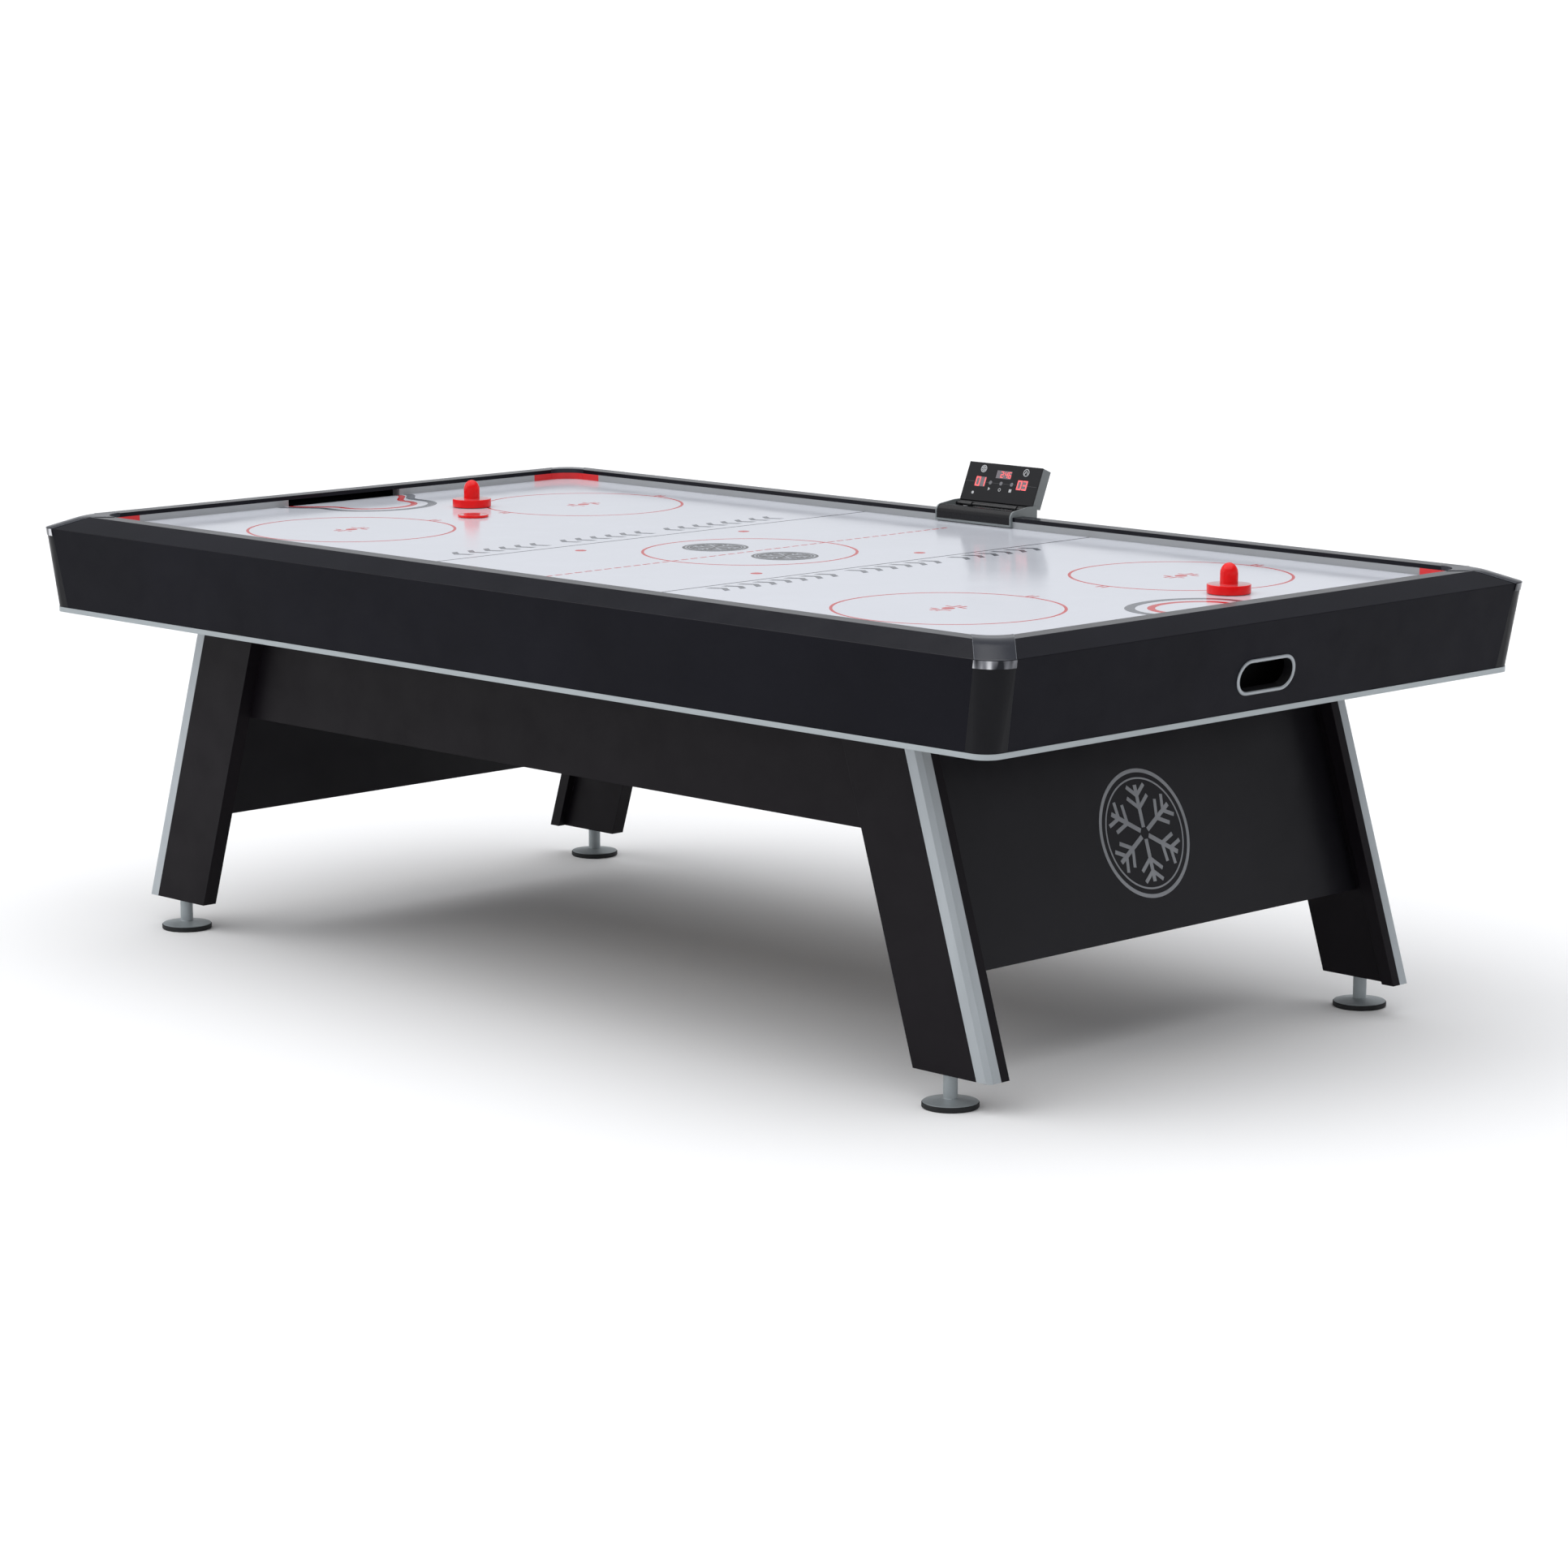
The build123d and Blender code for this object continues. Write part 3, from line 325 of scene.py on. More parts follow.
finishes = {
    "playfield": field_look(),
    "side_rail_front": rail_foil,
    "side_rail_back": rail_foil,
    "end_rail_left": rail_foil,
    "end_rail_right": rail_foil,
    "side_apron_front": foil,
    "side_apron_back": foil,
    "end_apron_left": foil,
    "end_apron_right": foil,
    "end_panels": panel_foil,
    "side_panels": leg_foil,
    "corner_posts": moulded("corner_black", srgb(17, 17, 21), 0.28, 0.38, level=0.12),
    "corner_bands": streaked_chrome(),
    "side_liners": moulded("liner_grey", srgb(160, 162, 164), 0.34, 0.36, amount=0.01, level=0.4),
    "end_liners": moulded("liner_grey_end", srgb(168, 170, 172), 0.34, 0.36, amount=0.01, level=0.4),
    "corner_bumpers": moulded("bumper_red", srgb(222, 40, 44), 0.28, 0.38),
    "side_trims": trim_silver,
    "end_trims": trim_silver,
    "leg_trims": silver_post,
    "plenum_frame": board_look(),
    "plenum_floor": board_look(),
    "cross_beams": laminate("beam_foil", srgb(30, 29, 32)),
    "goal_box_left": moulded("goal_black", srgb(16, 16, 17), 0.5, 0.65, level=0.3),
    "goal_sensors": moulded("sensor_black", srgb(24, 24, 26), 0.3, 0.4),
    "blower_housing": moulded("blower_black", srgb(30, 30, 32), 0.4, 0.55),
    "blower_impeller": moulded("impeller_grey", srgb(84, 86, 90), 0.35, 0.5),
    "blower_motor": metal("motor_zinc", srgb(170, 172, 174), 0.3, 0.45, stretch=(1, 1, 8)),
    "leg_bolts": metal("bolt_zinc", srgb(175, 176, 172), 0.25, 0.4),
    "scorer_base": moulded("scorer_black", srgb(21, 21, 24), 0.24, 0.3, level=0.18),
    "scorer_bracket": moulded("scorer_grey", srgb(124, 130, 131), 0.32, 0.45),
    "display_housing": shell_look(),
    "display_face": moulded("display_face", srgb(31, 31, 34), 0.34, 0.42, edge=0.0003, level=0.15),
    "display_board": moulded("lamp_window", srgb(118, 112, 118), 0.12, 0.2, edge=0.0002),
    "scorer_pin": moulded("pin_black", srgb(28, 28, 31), 0.22, 0.32, grain=500.0, level=0.4),
    "pusher_felt_left": felt_look(),
}
for name, twin in (
    ("goal_box_right", "goal_box_left"),
    ("blower_grille", "blower_housing"),
    ("power_inlet", "blower_housing"),
    ("power_rocker", "goal_sensors"),
    ("pusher_felt_right", "pusher_felt_left"),
):
    finishes[name] = finishes[twin]
for name in nodes:
    if name.startswith("leg_") and name not in finishes:
        finishes[name] = leg_foil


def dress(obj, material):
    obj.data.materials.clear()
    obj.data.materials.append(material)


for name, material in finishes.items():
    dress(nodes[name], material)


# ---- mesh builders -------------------------------------------------------------------------------


def circle(radius, steps):
    """Points round the origin, counterclockwise."""
    angles = [2 * math.pi * k / steps for k in range(steps)]
    return [(radius * math.cos(a), radius * math.sin(a)) for a in angles]


def as_mesh(bm, name):
    """A finished bmesh as a mesh, its faces turned outward."""
    bmesh.ops.recalc_face_normals(bm, faces=bm.faces)
    mesh = bpy.data.meshes.new(name)
    bm.to_mesh(mesh)
    bm.free()
    return mesh


def settle(name, mesh, place, material, body, smooth=None):
    """Makes an object from a mesh, in place, riding on its body.

    With smooth, it shades smooth except over edges that turn by more than that many degrees.
    """
    obj = bpy.data.objects.new(name, mesh)
    bpy.context.scene.collection.objects.link(obj)
    mesh.transform(place)
    dress(obj, material)
    if smooth:
        mesh.shade_smooth()
        mesh.set_sharp_from_angle(angle=math.radians(smooth))
    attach(obj, body)
    return obj


class Inlay:
    """Thin closed slabs on one plane, in millimetres, gathered into one mesh."""

    def __init__(self, low, high):
        self.low, self.high = low * MM, high * MM
        self.count = 0
        self.bm = bmesh.new()

    def face(self, verts):
        self.bm.faces.new(verts)

    def layer(self, points, height):
        return [self.bm.verts.new((x * MM, y * MM, height)) for x, y in points]

    def top(self):
        """Tops take seven heights in turn, a hair apart, so that slabs don't coincide where they cross."""
        self.count += 1
        return self.high + self.count % 7 * 0.008 * MM

    def strip(self, left, right, closed=False):
        """A slab between two lines with matching points."""
        rows = [self.layer(line, h) for h in (self.top(), self.low) for line in (left, right)]
        top_l, top_r, low_l, low_r = rows
        count = len(left)
        for i in range(count if closed else count - 1):
            j = (i + 1) % count
            self.face((top_l[i], top_r[i], top_r[j], top_l[j]))
            self.face((low_l[j], low_r[j], low_r[i], low_l[i]))
            self.face((top_l[j], low_l[j], low_l[i], top_l[i]))
            self.face((top_r[i], low_r[i], low_r[j], top_r[j]))
        if not closed:
            for i in (0, count - 1):
                self.face((top_l[i], low_l[i], low_r[i], top_r[i]))

    def bar(self, x, y, size_x, size_y, turn=0.0, shear=0.0):
        """A rectangle about (x, y), turned by degrees, its far side shifted by shear."""
        angle = math.radians(turn)
        c, s = math.cos(angle), math.sin(angle)
        points = []
        for u, v in ((-1, -1), (1, -1), (1, 1), (-1, 1)):
            px, py = u * size_x / 2, v * size_y / 2 + u * shear / 2
            points.append((x + px * c - py * s, y + px * s + py * c))
        self.strip([points[0], points[3]], [points[1], points[2]])

    def ring(self, x, y, radius, width, steps=128):
        edges = radius - width / 2, radius + width / 2
        lines = [[(x + u, y + v) for u, v in circle(r, steps)] for r in edges]
        self.strip(*lines, closed=True)

    def disc(self, x, y, radius, steps=48):
        self.shape([(x + u, y + v) for u, v in circle(radius, steps)])

    def shape(self, points):
        """A convex outline, counterclockwise."""
        top, low = self.layer(points, self.top()), self.layer(points, self.low)
        self.face(top)
        self.face(low[::-1])
        for i in range(len(points)):
            j = (i + 1) % len(points)
            self.face((top[j], top[i], low[i], low[j]))

    def line(self, points, width):
        """A band of one width centred on a line."""
        left, right = [], []
        for i, (x, y) in enumerate(points):
            x0, y0 = points[max(i - 1, 0)]
            x1, y1 = points[min(i + 1, len(points) - 1)]
            size = math.hypot(x1 - x0, y1 - y0)
            nx, ny = (y0 - y1) / size * width / 2, (x1 - x0) / size * width / 2
            left.append((x + nx, y + ny))
            right.append((x - nx, y - ny))
        self.strip(left, right)

    def finish(self, name, place, material, body, slot):
        return settle(name, as_mesh(self.bm, name), place, material, body)


def eased(corners_mm, steps=5):
    """An (r, z) outline whose corners, given as (r, z, radius), are rounded by arcs."""
    line = []
    last = len(corners_mm) - 1
    for i, (r, z, radius) in enumerate(corners_mm):
        here = Vector((r, z))
        if radius <= 0 or i in (0, last):
            line.append(here)
            continue
        before = (Vector(corners_mm[i - 1][:2]) - here).normalized()
        after = (Vector(corners_mm[i + 1][:2]) - here).normalized()
        half = before.angle(after) / 2
        reach = radius / math.tan(half)
        start, end = here + before * reach, here + after * reach
        for k in range(steps + 1):
            t = k / steps
            line.append(start.lerp(here, t).lerp(here.lerp(end, t), t))
    return line


LATHE_SHARP = 38


def lathe(name, corners_mm, place, material, body, steps=96):
    """Turns a rounded (r, z) outline about Z into a closed mesh."""
    bm = bmesh.new()
    rings = []
    for point in eased(corners_mm):
        r, z = point.x * MM, point.y * MM
        if r < 1e-7:
            rings.append([bm.verts.new((0, 0, z))])
            continue
        rings.append([bm.verts.new((x, y, z)) for x, y in circle(r, steps)])
    for a, b in zip(rings, rings[1:]):
        for k in range(steps):
            j = (k + 1) % steps
            if len(a) == 1 and len(b) > 1:
                bm.faces.new((a[0], b[j], b[k]))
            elif len(b) == 1 and len(a) > 1:
                bm.faces.new((a[k], a[j], b[0]))
            elif len(a) > 1:
                bm.faces.new((a[k], a[j], b[j], b[k]))
    return settle(name, as_mesh(bm, name), place, material, body, LATHE_SHARP)


def stand(node, z=None):
    """Where a turned part stands: the middle of its node's box, at its foot or at a height."""
    low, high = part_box(node)
    return Matrix.Translation(((low.x + high.x) / 2, (low.y + high.y) / 2, low.z if z is None else z))


# ---- play field markings ---------------------------------------------------------------------------

# Printed slabs reach this far into the board and this far above it.
PRINT = (-0.05, 0.1)
HALF_X = field_high.x / MM
HALF_Y = 590.0
CORNERS = ((-1, -1), (-1, 1), (1, -1), (1, 1))
CIRCLE_R, RING_W = 192.0, 5.2


def face_off_circle(inlay, x, y):
    """A ring, its dot, four corner marks of a long and a short bar each, and two pairs of outer ticks."""
    spot_r, bar_w, aside = 11.0, 5.0, 6
    long_y, long_size = 27, 20.0
    short_x, short_y, short_size, short_w = 15.7, 18.5, 14.0, 4.0
    tick = 19.0
    inlay.ring(x, y, CIRCLE_R, RING_W, 192)
    inlay.disc(x, y, spot_r)
    for u in (-1, 1):
        for v in (-1, 1):
            inlay.bar(x + u * aside, y + v * long_y, bar_w, long_size)
            inlay.bar(x + u * short_x, y + v * short_y, short_size, short_w)
        for v in (-1, 1):
            inlay.bar(x + u * aside, y + v * (CIRCLE_R + RING_W / 2 + tick / 2), bar_w, tick)


def field_lines():
    """Red: dashed middle line, centre circle, neutral dots, end circles. Dark: the two zone lines."""
    red = Inlay(*PRINT)
    dash, gap, reach, line_w = 16.0, 7.0, 520.0, 5.0
    count = int(2 * reach / (dash + gap))
    for k in range(count):
        red.bar(0, (k - (count - 1) / 2) * (dash + gap), line_w, dash)
    red.ring(0, 0, CIRCLE_R, RING_W, 192)
    neutral_x, neutral_y, neutral_r = 225, 204, 10.5
    face_off_x, face_off_y = 761.5, 291.7
    for sx, sy in CORNERS:
        red.disc(sx * neutral_x, sy * neutral_y, neutral_r)
        face_off_circle(red, sx * face_off_x, sy * face_off_y)
    red.finish("marks_red", TABLE, red_print, "table", "playfield")

    dark = Inlay(*PRINT)
    zone_x, zone_w = 288, 4.4
    for sx in (-1, 1):
        dark.bar(sx * zone_x, 0, zone_w, 2 * (HALF_Y - 1))
    dark.finish("marks_neutral", TABLE, dark_print, "table", "playfield")


def crease(mouth, neck, neck_x, straight_x, semi_x, semi_y, steps=40):
    """Centre line of a crease: out of the goal, in to a neck, then half an ellipse round the front."""
    half = []
    goal_x, ease_steps = HALF_X - 1, 12
    for k in range(ease_steps):
        t = k / ease_steps
        ease = t * t * (3 - 2 * t)
        half.append((goal_x - (goal_x - neck_x) * t, mouth + (neck - mouth) * ease))
    half.append((neck_x, neck))
    turn = [math.pi / 2 * k / steps for k in range(steps)]
    half += [(straight_x - semi_x * math.sin(a), semi_y * math.cos(a)) for a in turn]
    return half + [(straight_x - semi_x, 0)] + [(x, -y) for x, y in reversed(half)]


def goal_creases():
    """A red crease line inside a wider grey one, at both goals."""
    inner = crease(mouth=137, neck=79, neck_x=1050, straight_x=1040, semi_x=65.5, semi_y=79.5)
    outer = crease(mouth=160, neck=113, neck_x=1060, straight_x=1030, semi_x=88, semi_y=112.5)
    for tint, ink, width, line in (("red", red_print, 13.0, inner), ("grey", grey_print, 17.5, outer)):
        band = Inlay(*PRINT)
        band.line(line, width)
        band.line([(-x, y) for x, y in line], width)
        band.finish("crease_" + tint, TABLE, ink, "table", "playfield")


def chevron_bands():
    """Rows of chevrons in three groups, a plain pattern across the table."""
    band = Inlay(*PRINT)
    pitch, groups = 37.0, (8, 6, 6)
    arm_x, arm_length, stroke, rake = 11.9, 23.6, 13.0, 15.0
    total = sum(groups) + len(groups) - 1
    for side, middle in ((-1, 342.0), (1, 328.0)):
        start = 0
        for count in groups:
            for k in range(count):
                y = (start + k - (total - 1) / 2) * pitch * side
                for arm in (-1, 1):
                    x = side * middle + arm * arm_x
                    band.bar(x, y, arm_length, stroke, shear=-arm * side * rake)
            start += count + 1
    band.finish("chevron_bands", TABLE, grey_print, "table", "playfield")


def snow_star(inlay, x, y, radius, width, barb):
    """Six plain arms, each with two pairs of barbs that get shorter outward."""
    middle, length, barb_turn, barb_w = 0.56, 0.88, 52, 0.85
    for k in range(6):
        turn = 60 * k + 30
        a = math.radians(turn)
        c, s = math.cos(a), math.sin(a)
        inlay.bar(x + c * radius * middle, y + s * radius * middle, radius * length, width, turn)
        for r in (0.52, 0.78):
            size = barb * (1.35 - r * 0.55)
            for side in (-1, 1):
                b = a + side * math.radians(barb_turn)
                bx = x + c * radius * r + math.cos(b) * size / 2
                by = y + s * radius * r + math.sin(b) * size / 2
                inlay.bar(bx, by, size, width * barb_w, math.degrees(b))


def roundel(inlay, x, rings, star, steps):
    """Rings, each a radius and a width, round a snow star of a radius, arm width and barb length."""
    for radius, width in rings:
        inlay.ring(x, 0, radius, width, steps)
    snow_star(inlay, x, 0, *star)


def centre_roundels():
    """Two dark discs with pale roundels printed on them, either side of the middle line."""
    disc, lines = Inlay(*PRINT), Inlay(PRINT[1] - 0.05, PRINT[1] + 0.06)
    middle, radius = 89.0, 60.0
    for x in (-middle, middle):
        disc.disc(x, 0, radius, 96)
        roundel(lines, x, ((53.5, 3.0), (47.5, 1.6)), (42.0, 4.2, 15.0), 96)
    disc.finish("roundel_discs", TABLE, ink_print, "table", "playfield")
    lines.finish("roundel_lines", TABLE, line_print, "table", "playfield")


def panel_roundels():
    """The same roundel, larger, on each leaning end panel."""
    low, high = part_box("end_panels")
    silver = metal("panel_print", srgb(140, 142, 146), 0.4, 0.55, metallic=0.3)
    run_per_height = 0.3118
    lean = math.atan(run_per_height)
    height = 0.368
    face_x = high.x - (height - low.z) * math.tan(lean)
    for side, name in ((-1, "left"), (1, "right")):
        right = Vector((0, side, 0))
        out = Vector((side * math.cos(lean), 0, math.sin(lean)))
        up = out.cross(right)
        place = Matrix((right, up, out)).transposed().to_4x4()
        place.translation = Vector((side * face_x, MID_Y, height))
        mark = Inlay(-0.1, 0.35)
        roundel(mark, 0, ((106.0, 6.5), (93.0, 3.0)), (82.0, 8.0, 30.0), 160)
        mark.finish("panel_roundel_" + name, place, silver, "table", "black_laminate")


# ---- corner caps ------------------------------------------------------------------------------------

# A cap spans the rail's width over the field's rounded corner, from arm's length before it to as far
# after it. The bright lines lie in its skin: pale metal strips whose brightness is in part a painted
# highlight for the glint along the cap's edges.
RAIL_W = 84.0
CAP_ARM, CAP_CURVE = 46.0, 44.0
LINE_W, LINE_PROUD, LINE_SUNK = 0.8, 0.12, 0.1
CAP_SHARP = 30


def cap_top(t):
    """Height of a cap along its diagonal: level, then down the bevel, with a wide soft crease."""
    level, end, crease_t, soft = 20.8, -1.2, 0.393, 0.16
    fall = (level - end) / (1 - crease_t)
    if t <= crease_t - soft:
        return level
    if t >= crease_t + soft:
        return level - fall * (t - crease_t)
    return level - fall * soft * ((t - crease_t + soft) / (2 * soft)) ** 2


def cap_under(t):
    """Height of a cap's underside: over the wall, then down to the apron's top edge."""
    wall, start, end = 12.4, 0.24, -2.0
    return wall if t <= start else wall + (end - wall) * (t - start) / (1 - start)


def cap_path(steps=16):
    """The field's rounded corner with a short straight at each end."""
    turn = [math.pi / 2 * (1 - k / steps) for k in range(steps + 1)]
    middle = (HALF_X - CAP_CURVE, HALF_Y - CAP_CURVE)
    arc = [(middle[0] + CAP_CURVE * math.cos(a), middle[1] + CAP_CURVE * math.sin(a)) for a in turn]
    return [(HALF_X - CAP_ARM, HALF_Y), *arc, (HALF_X, HALF_Y - CAP_ARM)]


def cap_sheet(bm, path, signs, top, under, steps=36):
    """A closed skin swept diagonally outward along the path, in the corner given by signs."""
    rows = []
    for height in (top, under):
        for k in range(steps + 1):
            t = k / steps
            rows.append([
                bm.verts.new((
                    signs[0] * (x + RAIL_W * t) * MM, signs[1] * (y + RAIL_W * t) * MM, height(t) * MM
                )) for x, y in path
            ])
    upper, lower = rows[:steps + 1], rows[steps + 1:]
    last = len(path) - 1
    for k in range(steps):
        for i in range(last):
            bm.faces.new((upper[k][i], upper[k][i + 1], upper[k + 1][i + 1], upper[k + 1][i]))
            bm.faces.new((lower[k][i], lower[k + 1][i], lower[k + 1][i + 1], lower[k][i + 1]))
        for i in (0, last):
            bm.faces.new((upper[k][i], upper[k + 1][i], lower[k + 1][i], lower[k][i]))
    for k in (0, steps):
        for i in range(last):
            bm.faces.new((upper[k][i], upper[k][i + 1], lower[k][i + 1], lower[k][i]))


def corner_caps():
    """Rounded glossy caps with a thin bright line along both side edges, in part a painted highlight."""
    path = cap_path()
    shell, lines = bmesh.new(), bmesh.new()
    for signs in CORNERS:
        cap_sheet(shell, path, signs, cap_top, cap_under)
        for end, inward in ((path[0], (LINE_W, 0)), (path[-1], (0, LINE_W))):
            edge = [end, (end[0] + inward[0], end[1] + inward[1])]
            cap_sheet(
                lines, edge, signs, lambda t: cap_top(t) + LINE_PROUD, lambda t: cap_top(t) - LINE_SUNK
            )
    gloss = moulded("cap_black", srgb(40, 42, 50), 0.15, 0.18, edge=0.002, level=0.25, amount=0.02)
    # Painted highlight, in part: the pale colour of the edge lines stands for the glint on the cap's edges.
    bright = metal("cap_line", srgb(138, 142, 148), 0.2, 0.3, metallic=0.6, edge=0.0002)
    for name, bm, material, slot in (
        ("corner_cap_skins", shell, gloss, "gunmetal"), ("corner_cap_lines", lines, bright, "bright_band"),
    ):
        obj = settle(name, as_mesh(bm, name), TABLE, material, "table", CAP_SHARP)
        if bm is shell:
            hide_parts("corner_caps")


# ---- puck return rims -------------------------------------------------------------------------------

# The middle of a return: below the field, aside from the centre line, and out on the apron's face,
# which leans inward by the taper over the fall.
RETURN_DROP, RETURN_Y, RETURN_FACE_X = 92.0, -14.0, 1202.24
APRON_FALL, APRON_TAPER = 147.0, 29.0
RIM_SHARP = 40


def stadium(length, height, steps=24):
    """Points of a slot outline, counterclockwise."""
    r, reach = height / 2, (length - height) / 2
    points = []
    for side in (1, -1):
        for k in range(steps + 1):
            a = math.pi * (k / steps - 0.5)
            points.append((side * (reach + r * math.cos(a)), side * r * math.sin(a)))
    return points


def return_rims():
    """A slim rounded silver rim round each puck return, with a black sleeve behind it."""
    length, height = 145.0, 61.0
    # Together the two go once round the section. A point is an inset from the rim's outer edge and
    # a lift off the apron's face.
    rim = [(0.0, -0.2), (0.0, 1.3), (0.9, 2.2), (2.4, 2.5), (4.2, 2.5), (5.6, 2.0), (6.4, 0.8)]
    sleeve = [(6.6, -0.6), (6.6, -17.0), (3.6, -17.0), (3.6, -0.2)]
    silver = metal("bezel_silver", srgb(150, 155, 159), 0.28, 0.4, metallic=0.7, edge=0.0002)
    dark = moulded("sleeve_black", srgb(20, 20, 22), 0.4, 0.5, level=0.2)
    bm = bmesh.new()
    for side in (-1, 1):
        across = Vector((0, side, 0))
        out = Vector((side * APRON_FALL, 0, -APRON_TAPER)).normalized()
        up = out.cross(across)
        middle = Vector((side * RETURN_FACE_X, RETURN_Y, -RETURN_DROP))
        loops = []
        for inset, lift in rim + sleeve:
            outline = stadium(length - 2 * inset, height - 2 * inset)
            loops.append([
                bm.verts.new((middle + across * u + up * v + out * lift) * MM) for u, v in outline
            ])
        count = len(loops[0])
        for row in range(len(loops)):
            a, b = loops[row], loops[(row + 1) % len(loops)]
            for k in range(count):
                j = (k + 1) % count
                bm.faces.new((a[k], a[j], b[j], b[k]))
    rims = settle("return_rims", as_mesh(bm, "return_rims"), TABLE, silver, "table", RIM_SHARP)
    rims.data.materials.append(dark)
    for face in rims.data.polygons:
        face.material_index = int(face.index // count % len(loops) >= len(rim) - 1)
    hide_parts("return_bezels")


# ---- pushers, puck and feet ------------------------------------------------------------------------


def paint_top_sheen(obj, place, low, high, reach):
    """Gives the faces that lie between two heights, within a reach, the paler red: a painted sheen standing
    for the reflection on a flat glossy top.
    """
    obj.data.materials.append(painted_sheen_red)
    back = place.inverted()
    for face in obj.data.polygons:
        points = [back @ obj.data.vertices[i].co / MM for i in face.vertices]
        if all(low <= p.z <= high and p.xy.length <= reach for p in points):
            face.material_index = 1


def pushers():
    """A broad low base whose flat top carries a painted sheen, and a knob that ends in a dome."""
    felt_gap, lower_edge = 0.5, 0.8
    base_r, base_h, knob_r, straight_h, top_h = 37.2, 15.8, 15.3, 33.5, 51.8
    dome = [math.radians(7.5 * k) for k in range(1, 12)]
    outline = [
        (0, felt_gap, 0), (base_r - lower_edge, felt_gap, 0.3), (base_r, felt_gap + lower_edge, 0.4),
        (base_r, base_h, 1.1), (knob_r, base_h, 1.0), (knob_r, straight_h, 0),
    ]
    outline += [(knob_r * math.cos(a), straight_h + (top_h - straight_h) * math.sin(a), 0) for a in dome]
    outline.append((0, top_h, 0))
    for side in ("left", "right"):
        node = "pusher_" + side
        place = stand(node, SURFACE + 0.3 * MM)
        body = lathe("pusher_body_" + side, outline, place, player_red, node)
        # Painted sheen on the base's flat top.
        paint_top_sheen(body, place, base_h - 0.05, base_h + 0.05, base_r - 0.6)
        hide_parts(node)


def puck():
    """A thin disc with a low rim round its top, which carries a painted sheen."""
    radius, thick, floor_h = 29, 4.6, 4.35
    outline = [
        (0, 0, 0), (radius - 0.5, 0, 0.4), (radius, 0.9, 0.5), (radius, thick, 0.8),
        (radius - 2.6, thick, 0.4), (radius - 3.0, floor_h, 0.3), (0, floor_h, 0),
    ]
    disc = lathe("puck_disc", outline, stand("puck"), player_red, "puck")
    # Painted sheen on the top and its rim.
    paint_top_sheen(disc, stand("puck"), floor_h - 0.05, thick + 0.05, radius - 0.7)
    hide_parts("puck")


def levelling_feet():
    """Under each leg a steel stem with a shallow cone, on a rubber tread."""
    tread_r, tread_h, cone_r, cone_top, stem_r, stem_top = 46.5, 9.0, 45, 14.2, 11.7, 99
    tread = [
        (0, 0, 0), (tread_r - 2.0, 0, 0.8), (tread_r, 1.8, 1.0), (tread_r, tread_h - 1.0, 0.9),
        (tread_r - 0.9, tread_h, 0.6), (0, tread_h, 0),
    ]
    stem = [
        (0, tread_h, 0), (cone_r, tread_h, 0.2), (cone_r, tread_h + 1, 0.7), (16, cone_top, 2.0),
        (13.0, cone_top + 0.3, 0.4), (stem_r, cone_top + 1.2, 0.8), (stem_r, stem_top, 0.8),
        (0, stem_top, 0),
    ]
    steel = metal("foot_steel", srgb(150, 157, 160), 0.34, 0.46, metallic=0.35, level=0.45)
    rubber = rubber_look()
    for corner in ("back_left", "back_right", "front_left", "front_right"):
        body, pad_node, stem_node = "leveller_" + corner, "foot_pad_" + corner, "foot_" + corner
        pad = lathe("foot_tread_" + corner, tread, stand(pad_node), rubber, body)
        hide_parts(pad_node)
        place = stand(stem_node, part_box(pad_node)[0].z)
        foot = lathe("foot_stem_" + corner, stem, place, steel, body)
        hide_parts(stem_node)


# ---- scorer ----------------------------------------------------------------------------------------

# The face's own frame: x along it, y up it, z out of it. At rest it leans back from upright.
LEAN = math.radians(22.8)
FACE_T = 2.5 * MM
face_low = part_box("display_face")[0]
face_foot = Vector((0, face_low.y, face_low.z + FACE_T * math.sin(LEAN)))
FACE = Matrix((
    (1, 0, 0),
    (0, math.sin(LEAN), -math.cos(LEAN)),
    (0, math.cos(LEAN), math.sin(LEAN)),
)).to_4x4()
FACE.translation = face_foot

# Segments are lettered a to f clockwise from the top, with g across the middle.
SEGMENTS = {
    "0": "abcdef", "1": "bc", "2": "abged", "3": "abgcd", "4": "fgbc", "6": "afgedc",
}


def digit(inlay, char, x, y, width, height, stroke):
    """Seven-segment strokes about the digit's middle, a little short of its corners."""
    w, h = width / 2 - stroke / 2, height / 2 - stroke / 2
    long_x, long_y = width - stroke * 0.3, height / 2 - stroke * 0.1
    places = {
        "a": (0, h, long_x, stroke), "g": (0, 0, long_x - stroke, stroke), "d": (0, -h, long_x, stroke),
        "f": (-w, h / 2, stroke, long_y), "b": (w, h / 2, stroke, long_y),
        "e": (-w, -h / 2, stroke, long_y), "c": (w, -h / 2, stroke, long_y),
    }
    for key in SEGMENTS[char]:
        dx, dy, sx, sy = places[key]
        inlay.bar(x + dx, y + dy, sx, sy)


